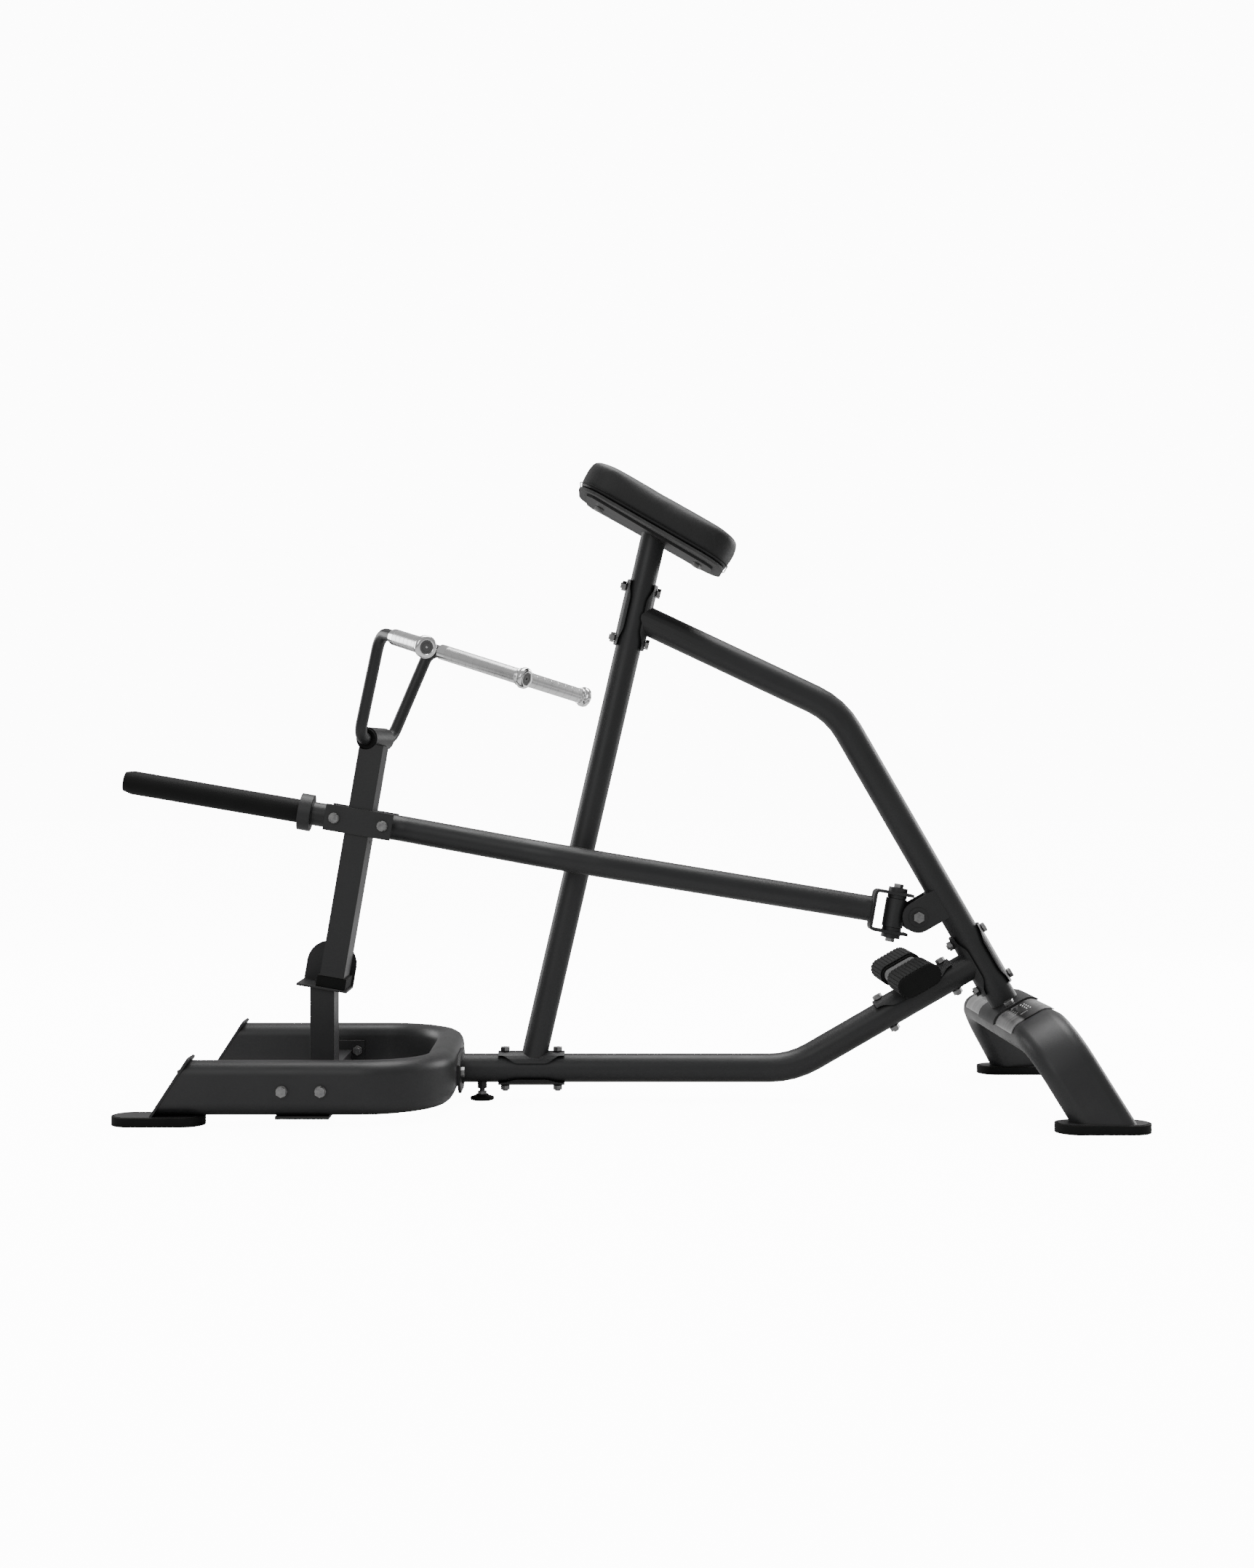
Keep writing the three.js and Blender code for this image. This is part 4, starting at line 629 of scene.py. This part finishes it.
CAP_SUNK = 0.0006
for name, way in (("near", -1), ("far", 1)):
    cap = rounded_plate(0.0905, 0.0425, 0.02124, 0.0022)
    only(cap)
    pick_top(cap)
    bpy.ops.object.mode_set(mode="EDIT")
    bpy.ops.mesh.inset(thickness=0.0025, depth=0.0006)
    bpy.ops.mesh.inset(thickness=0.0020, depth=-0.0010)
    bpy.ops.mesh.select_all(action="SELECT")
    bpy.ops.mesh.normals_make_consistent(inside=False)
    bpy.ops.object.mode_set(mode="OBJECT")
    end = bar_centre + side * way * (-sleeve_low.y - CAP_SUNK)
    settle(cap, end, side * way, slope_x)
    dress(cap, "sleeve_cap_" + name, "frame", (rubber,), 30)

# %% [markdown]
# ## Bands on the foot sleeves
# Where each sleeve ends beside the bare bar, a thin black band clamps it: an
# oval ring a little smaller than the sleeve.

# %% Sleeve bands
BAND_IN = 0.001
for name, way in (("near", -1), ("far", 1)):
    band = rounded_plate(0.0860, 0.0380, 0.01899, 0.0050)
    only(band)
    pick_top(band)
    bpy.ops.object.mode_set(mode="EDIT")
    bpy.ops.mesh.inset(thickness=0.0008, depth=0.0006)
    bpy.ops.mesh.select_all(action="SELECT")
    bpy.ops.mesh.normals_make_consistent(inside=False)
    bpy.ops.object.mode_set(mode="OBJECT")
    settle(band, bar_centre + side * way * (BAND_IN - sleeve_high.y), -side * way, slope_x)
    dress(band, "sleeve_band_" + name, "frame", (rubber,), 30)

# %% [markdown]
# ## Tread marks
# The step plates carry marks pressed up from below: four chevrons, a row of
# dots and a dash at each end. Each mark is made once as a low raised shape,
# and its copies, each with its own mesh, are set out on the flat of the plate
# and joined to one piece for each plate.

# %% Tread marks
crown_top = Vector(mounts["step_near"]["pos_m"])
crown_top.y = 0
CHEVRON_LEAN = 0.75


def chevron():
    mark = rounded_plate(0.012, 0.003, 0.0012, 0.0009, 3)
    only(mark)
    bpy.ops.object.mode_set(mode="EDIT")
    bpy.ops.mesh.select_all(action="SELECT")
    bpy.ops.mesh.bisect(plane_co=(0, 0, 0), plane_no=(1, 0, 0))
    bpy.ops.object.mode_set(mode="OBJECT")
    for vertex in mark.data.vertices:
        vertex.co.y += abs(vertex.co.x) * CHEVRON_LEAN
    return mark


def soften(mark, width):
    edge = mark.modifiers.new("edge", "BEVEL")
    edge.width, edge.segments, edge.limit_method = width, 2, "ANGLE"
    only(mark)
    bpy.ops.object.modifier_apply(modifier="edge")
    return mark


chevron_mark = soften(chevron(), 0.0004)
dash_mark = soften(rounded_plate(0.016, 0.0035, 0.0016, 0.0009, 4), 0.0004)
dot_mark = turned([(0, 0.0019), (0.0004, 0.0018), (0.0008, 0.0013), (0.0010, 0.0005)], 14)
for name, way in (("near", -1), ("far", 1)):
    laid = []
    layout = [(chevron_mark, -0.014, 0.105 + 0.016 * i) for i in range(4)]
    layout += [(dot_mark, 0.012 + 0.006 * (i % 2), 0.100 + 0.009 * i) for i in range(8)]
    layout += [(dash_mark, 0.0, 0.090), (dash_mark, 0.0, 0.178)]
    for mark, x, y in layout:
        one = mark.copy()
        one.data = mark.data.copy()
        bpy.context.scene.collection.objects.link(one)
        settle(one, crown_top + slope_x * x + side * way * y, slope_z, slope_x)
        laid.append(one)
    bpy.ops.object.select_all(action="DESELECT")
    for one in laid:
        one.select_set(True)
    bpy.context.view_layer.objects.active = laid[0]
    bpy.ops.object.join()
    dress(bpy.context.active_object, "tread_marks_" + name, "frame", (chrome,), 40)
for mark in (chevron_mark, dash_mark, dot_mark):
    bpy.data.objects.remove(mark)
print("tread marks on each plate:", len(layout))

# %% [markdown]
# ## Weld beads
# Where a tube stands square on a plate or a strap, the weld runs round it as
# a narrow bead of overlapping scales. A torus gives the ring, and pushing its
# vertices in and out along the ring gives the scales, about 3 mm apart.

# %% Weld beads
SCALE_PITCH, BOLT_HEAD, RAIL_UP, YOKE_BACK, COLLAR_BACK = 0.0032, 0.008, 0.0664, 0.0966, 1.2854


def bead(name, body, origin, way, radius, thick=0.0026):
    bpy.ops.object.select_all(action="DESELECT")
    bpy.ops.mesh.primitive_torus_add(major_radius=radius, minor_radius=thick, major_segments=144,
                                     minor_segments=8)
    ring = bpy.context.active_object
    scales = round(2 * math.pi * radius / SCALE_PITCH)
    for vertex in ring.data.vertices:
        turn = math.atan2(vertex.co.y, vertex.co.x)
        swell = 0.82 + 0.22 * abs(math.sin(turn * scales / 2))
        middle = Vector((math.cos(turn), math.sin(turn), 0)) * radius
        vertex.co = middle + (vertex.co - middle) * swell
    settle(ring, origin, way)
    dress(ring, name, body, (powder_coat,), 60)


shield_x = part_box("shield_bolt_1")[1][0] - BOLT_HEAD
bead("weld_shield", "frame", Vector((shield_x + 0.0005, 0, RAIL_UP)), Vector((1, 0, 0)), 0.0305)
bead("weld_yoke", "lever", on_lever(-YOKE_BACK), -lever_x, 0.0275)
bead("weld_collar", "lever", on_lever(-COLLAR_BACK), lever_x, 0.0255, 0.0022)
print("weld beads: 3")

# %% [markdown]
# ## Chest pad
# The pad is a block of firm foam under vinyl, stapled beneath its board. It
# could be a rounded block, but vinyl pulled over foam swells a little on its
# faces and sinks at its corners. So a block a few millimetres small is blown
# up as cloth, with its lower rim held, and the swelling is capped.

# %% Pad frame
PAD_SLOPE = math.radians(29.8)
pad_x = Vector((math.cos(PAD_SLOPE), 0, -math.sin(PAD_SLOPE)))
pad_z = Vector((math.sin(PAD_SLOPE), 0, math.cos(PAD_SLOPE)))
pad_points = [v.co for v in nodes["chest_pad"].data.vertices]
reaches = [[point.dot(way) for point in pad_points] for way in (pad_x, side, pad_z)]
spans = [(min(reach), max(reach)) for reach in reaches]
pad_size = [high - low for low, high in spans]
pad_base = pad_x * sum(spans[0]) / 2 + pad_z * spans[2][0]
print("pad:", [round(s * 1000) for s in pad_size])

# %% Pad block
SHRINK, PAD_ROUND, TOP_ROUND = 0.003, 0.060, 0.013
pad = rounded_plate(pad_size[0] - SHRINK, pad_size[1] - SHRINK, PAD_ROUND, pad_size[2] - SHRINK / 2, 14)
only(pad)
pick_top(pad)
bpy.ops.object.mode_set(mode="EDIT")
bpy.ops.mesh.region_to_loop()
bpy.ops.mesh.bevel(affect="EDGES", offset=TOP_ROUND, segments=6, profile=0.5)
bpy.ops.mesh.select_all(action="SELECT")
bpy.ops.mesh.normals_make_consistent(inside=False)
bpy.ops.object.mode_set(mode="OBJECT")

# %% Pad swelling
SWELL, RIM_HELD, VOXEL, FRAMES = 0.0035, 0.010, 0.005, 20
only(pad)
remesh = pad.modifiers.new("even", "REMESH")
remesh.mode, remesh.voxel_size = "VOXEL", VOXEL
bpy.ops.object.modifier_apply(modifier="even")
rest = [v.co.copy() for v in pad.data.vertices]
hold = pad.vertex_groups.new(name="hold")
hold.add([v.index for v in pad.data.vertices if v.co.z < RIM_HELD], 1.0, "REPLACE")
cloth = pad.modifiers.new("blow", "CLOTH")
cloth.settings.use_pressure = True
cloth.settings.uniform_pressure_force = 4
cloth.settings.vertex_group_mass = "hold"
cloth.settings.tension_stiffness = cloth.settings.compression_stiffness = 60
cloth.settings.bending_stiffness = 20
cloth.settings.effector_weights.gravity = 0
for step in range(1, FRAMES + 1):
    bpy.context.scene.frame_set(step)
bpy.ops.object.modifier_apply(modifier="blow")
bpy.context.scene.frame_set(1)
for vertex, was in zip(pad.data.vertices, rest):
    move = vertex.co - was
    if move.length > SWELL:
        vertex.co = was + move.normalized() * SWELL
pad.vertex_groups.clear()
ease = pad.modifiers.new("ease", "SMOOTH")
ease.factor, ease.iterations = 0.5, 24
bpy.ops.object.modifier_apply(modifier="ease")
fine = pad.modifiers.new("fine", "SUBSURF")
fine.levels = fine.render_levels = 1
bpy.ops.object.modifier_apply(modifier="fine")
settle(pad, pad_base, pad_z, pad_x)
dress(pad, "chest_pad_cover", "frame", (vinyl,), 50, ("chest_pad",))
print("pad faces:", len(pad.data.polygons))

# %% [markdown]
# ## Pad seam
# The side of the cover is sewn to its underside just above the board, with a
# thin black welt in the seam. An oval line with a round bevel follows it.

# %% Pad seam
WELT, WELT_UP = 0.0013, 0.0065
WELT_OUT, WELT_ROUND = 0.0005, 0.062
welt = rounded_plate(pad_size[0] + WELT_OUT, pad_size[1] + WELT_OUT, WELT_ROUND, 0.001, 16)
only(welt)
pick_top(welt)
bpy.ops.object.mode_set(mode="EDIT")
bpy.ops.mesh.select_mode(type="FACE")
bpy.ops.mesh.select_all(action="INVERT")
bpy.ops.mesh.delete(type="FACE")
bpy.ops.mesh.select_all(action="SELECT")
bpy.ops.mesh.delete(type="ONLY_FACE")
bpy.ops.object.mode_set(mode="OBJECT")
bpy.ops.object.convert(target="CURVE")
welt.data.bevel_depth, welt.data.bevel_resolution = WELT, 3
bpy.ops.object.convert(target="MESH")
welt = bpy.context.active_object
settle(welt, pad_base + pad_z * WELT_UP, pad_z, pad_x)
dress(welt, "pad_welt", "frame", (rubber,), 60)
print("welt faces:", len(welt.data.polygons))

# %% [markdown]
# ## Studio
# A plain pale floor and a white surround, as in a light tent, and four large
# soft lamps: one above for the top faces, two behind that draw the bright
# edges of the tubes, and a weak one by the camera that opens the blacks. A
# studio lights its white backdrop much more than its subject. Here the floor
# and the surround are simply brighter to sight than to the light they give.

# %% Floor
TO_SIGHT, TO_LIGHT = 12.0, 0.42
bpy.ops.object.select_all(action="DESELECT")
bpy.ops.mesh.primitive_plane_add(size=60)
floor = bpy.context.active_object
floor.name = "floor"
pale, tree, skin = finish("pale_floor")
skin.inputs["Base Color"].default_value = tint("#f8f8f8")
skin.inputs["Roughness"].default_value = 0.9
skin.inputs["Emission Color"].default_value = tint("#ffffff")
skin.inputs["Emission Strength"].default_value = TO_SIGHT
sight = node(tree, "ShaderNodeLightPath").outputs["Is Camera Ray"]
table = node(tree, "ShaderNodeBsdfDiffuse", Color=tint("#c4c4c4"))
both = node(tree, "ShaderNodeMixShader", i0=sight, i1=table.outputs[0], i2=skin.outputs[0])
tree.links.new(both.outputs[0], tree.nodes["Material Output"].inputs["Surface"])
floor.data.materials.append(pale)

# %% Surround
sky = bpy.data.worlds.new("studio")
bpy.context.scene.world = sky
sky.use_nodes = True
paper = sky.node_tree.nodes["Background"]
paper.inputs["Color"].default_value = tint("#ffffff")
paper.inputs["Strength"].default_value = TO_LIGHT
backdrop = node(sky.node_tree, "ShaderNodeBackground", Color=tint("#ffffff"), Strength=TO_SIGHT)
sight = node(sky.node_tree, "ShaderNodeLightPath").outputs["Is Camera Ray"]
both = node(sky.node_tree, "ShaderNodeMixShader", i0=sight, i1=paper.outputs[0], i2=backdrop.outputs[0])
sky.node_tree.links.new(both.outputs[0], sky.node_tree.nodes["World Output"].inputs["Surface"])

# %% Lamps
def lamp(name, place, target, size, power):
    light = bpy.data.lights.new(name, "AREA")
    light.shape, light.size, light.energy = "SQUARE", size, power
    obj = bpy.data.objects.new(name, light)
    obj.location = place
    obj.rotation_euler = (Vector(target) - Vector(place)).to_track_quat("-Z", "Y").to_euler()
    bpy.context.scene.collection.objects.link(obj)


lamp("overhead", (0.4, 0.6, 4.2), (0, 0, 0.5), 3.0, 210)
lamp("rear_right", (3.4, 2.2, 1.6), (0, 0, 0.6), 2.0, 90)
lamp("rear_left", (-3.4, 2.2, 1.6), (0, 0, 0.6), 2.0, 60)
lamp("camera_side", (-1.6, -4.2, 2.4), (0, 0, 0.6), 2.5, 34)
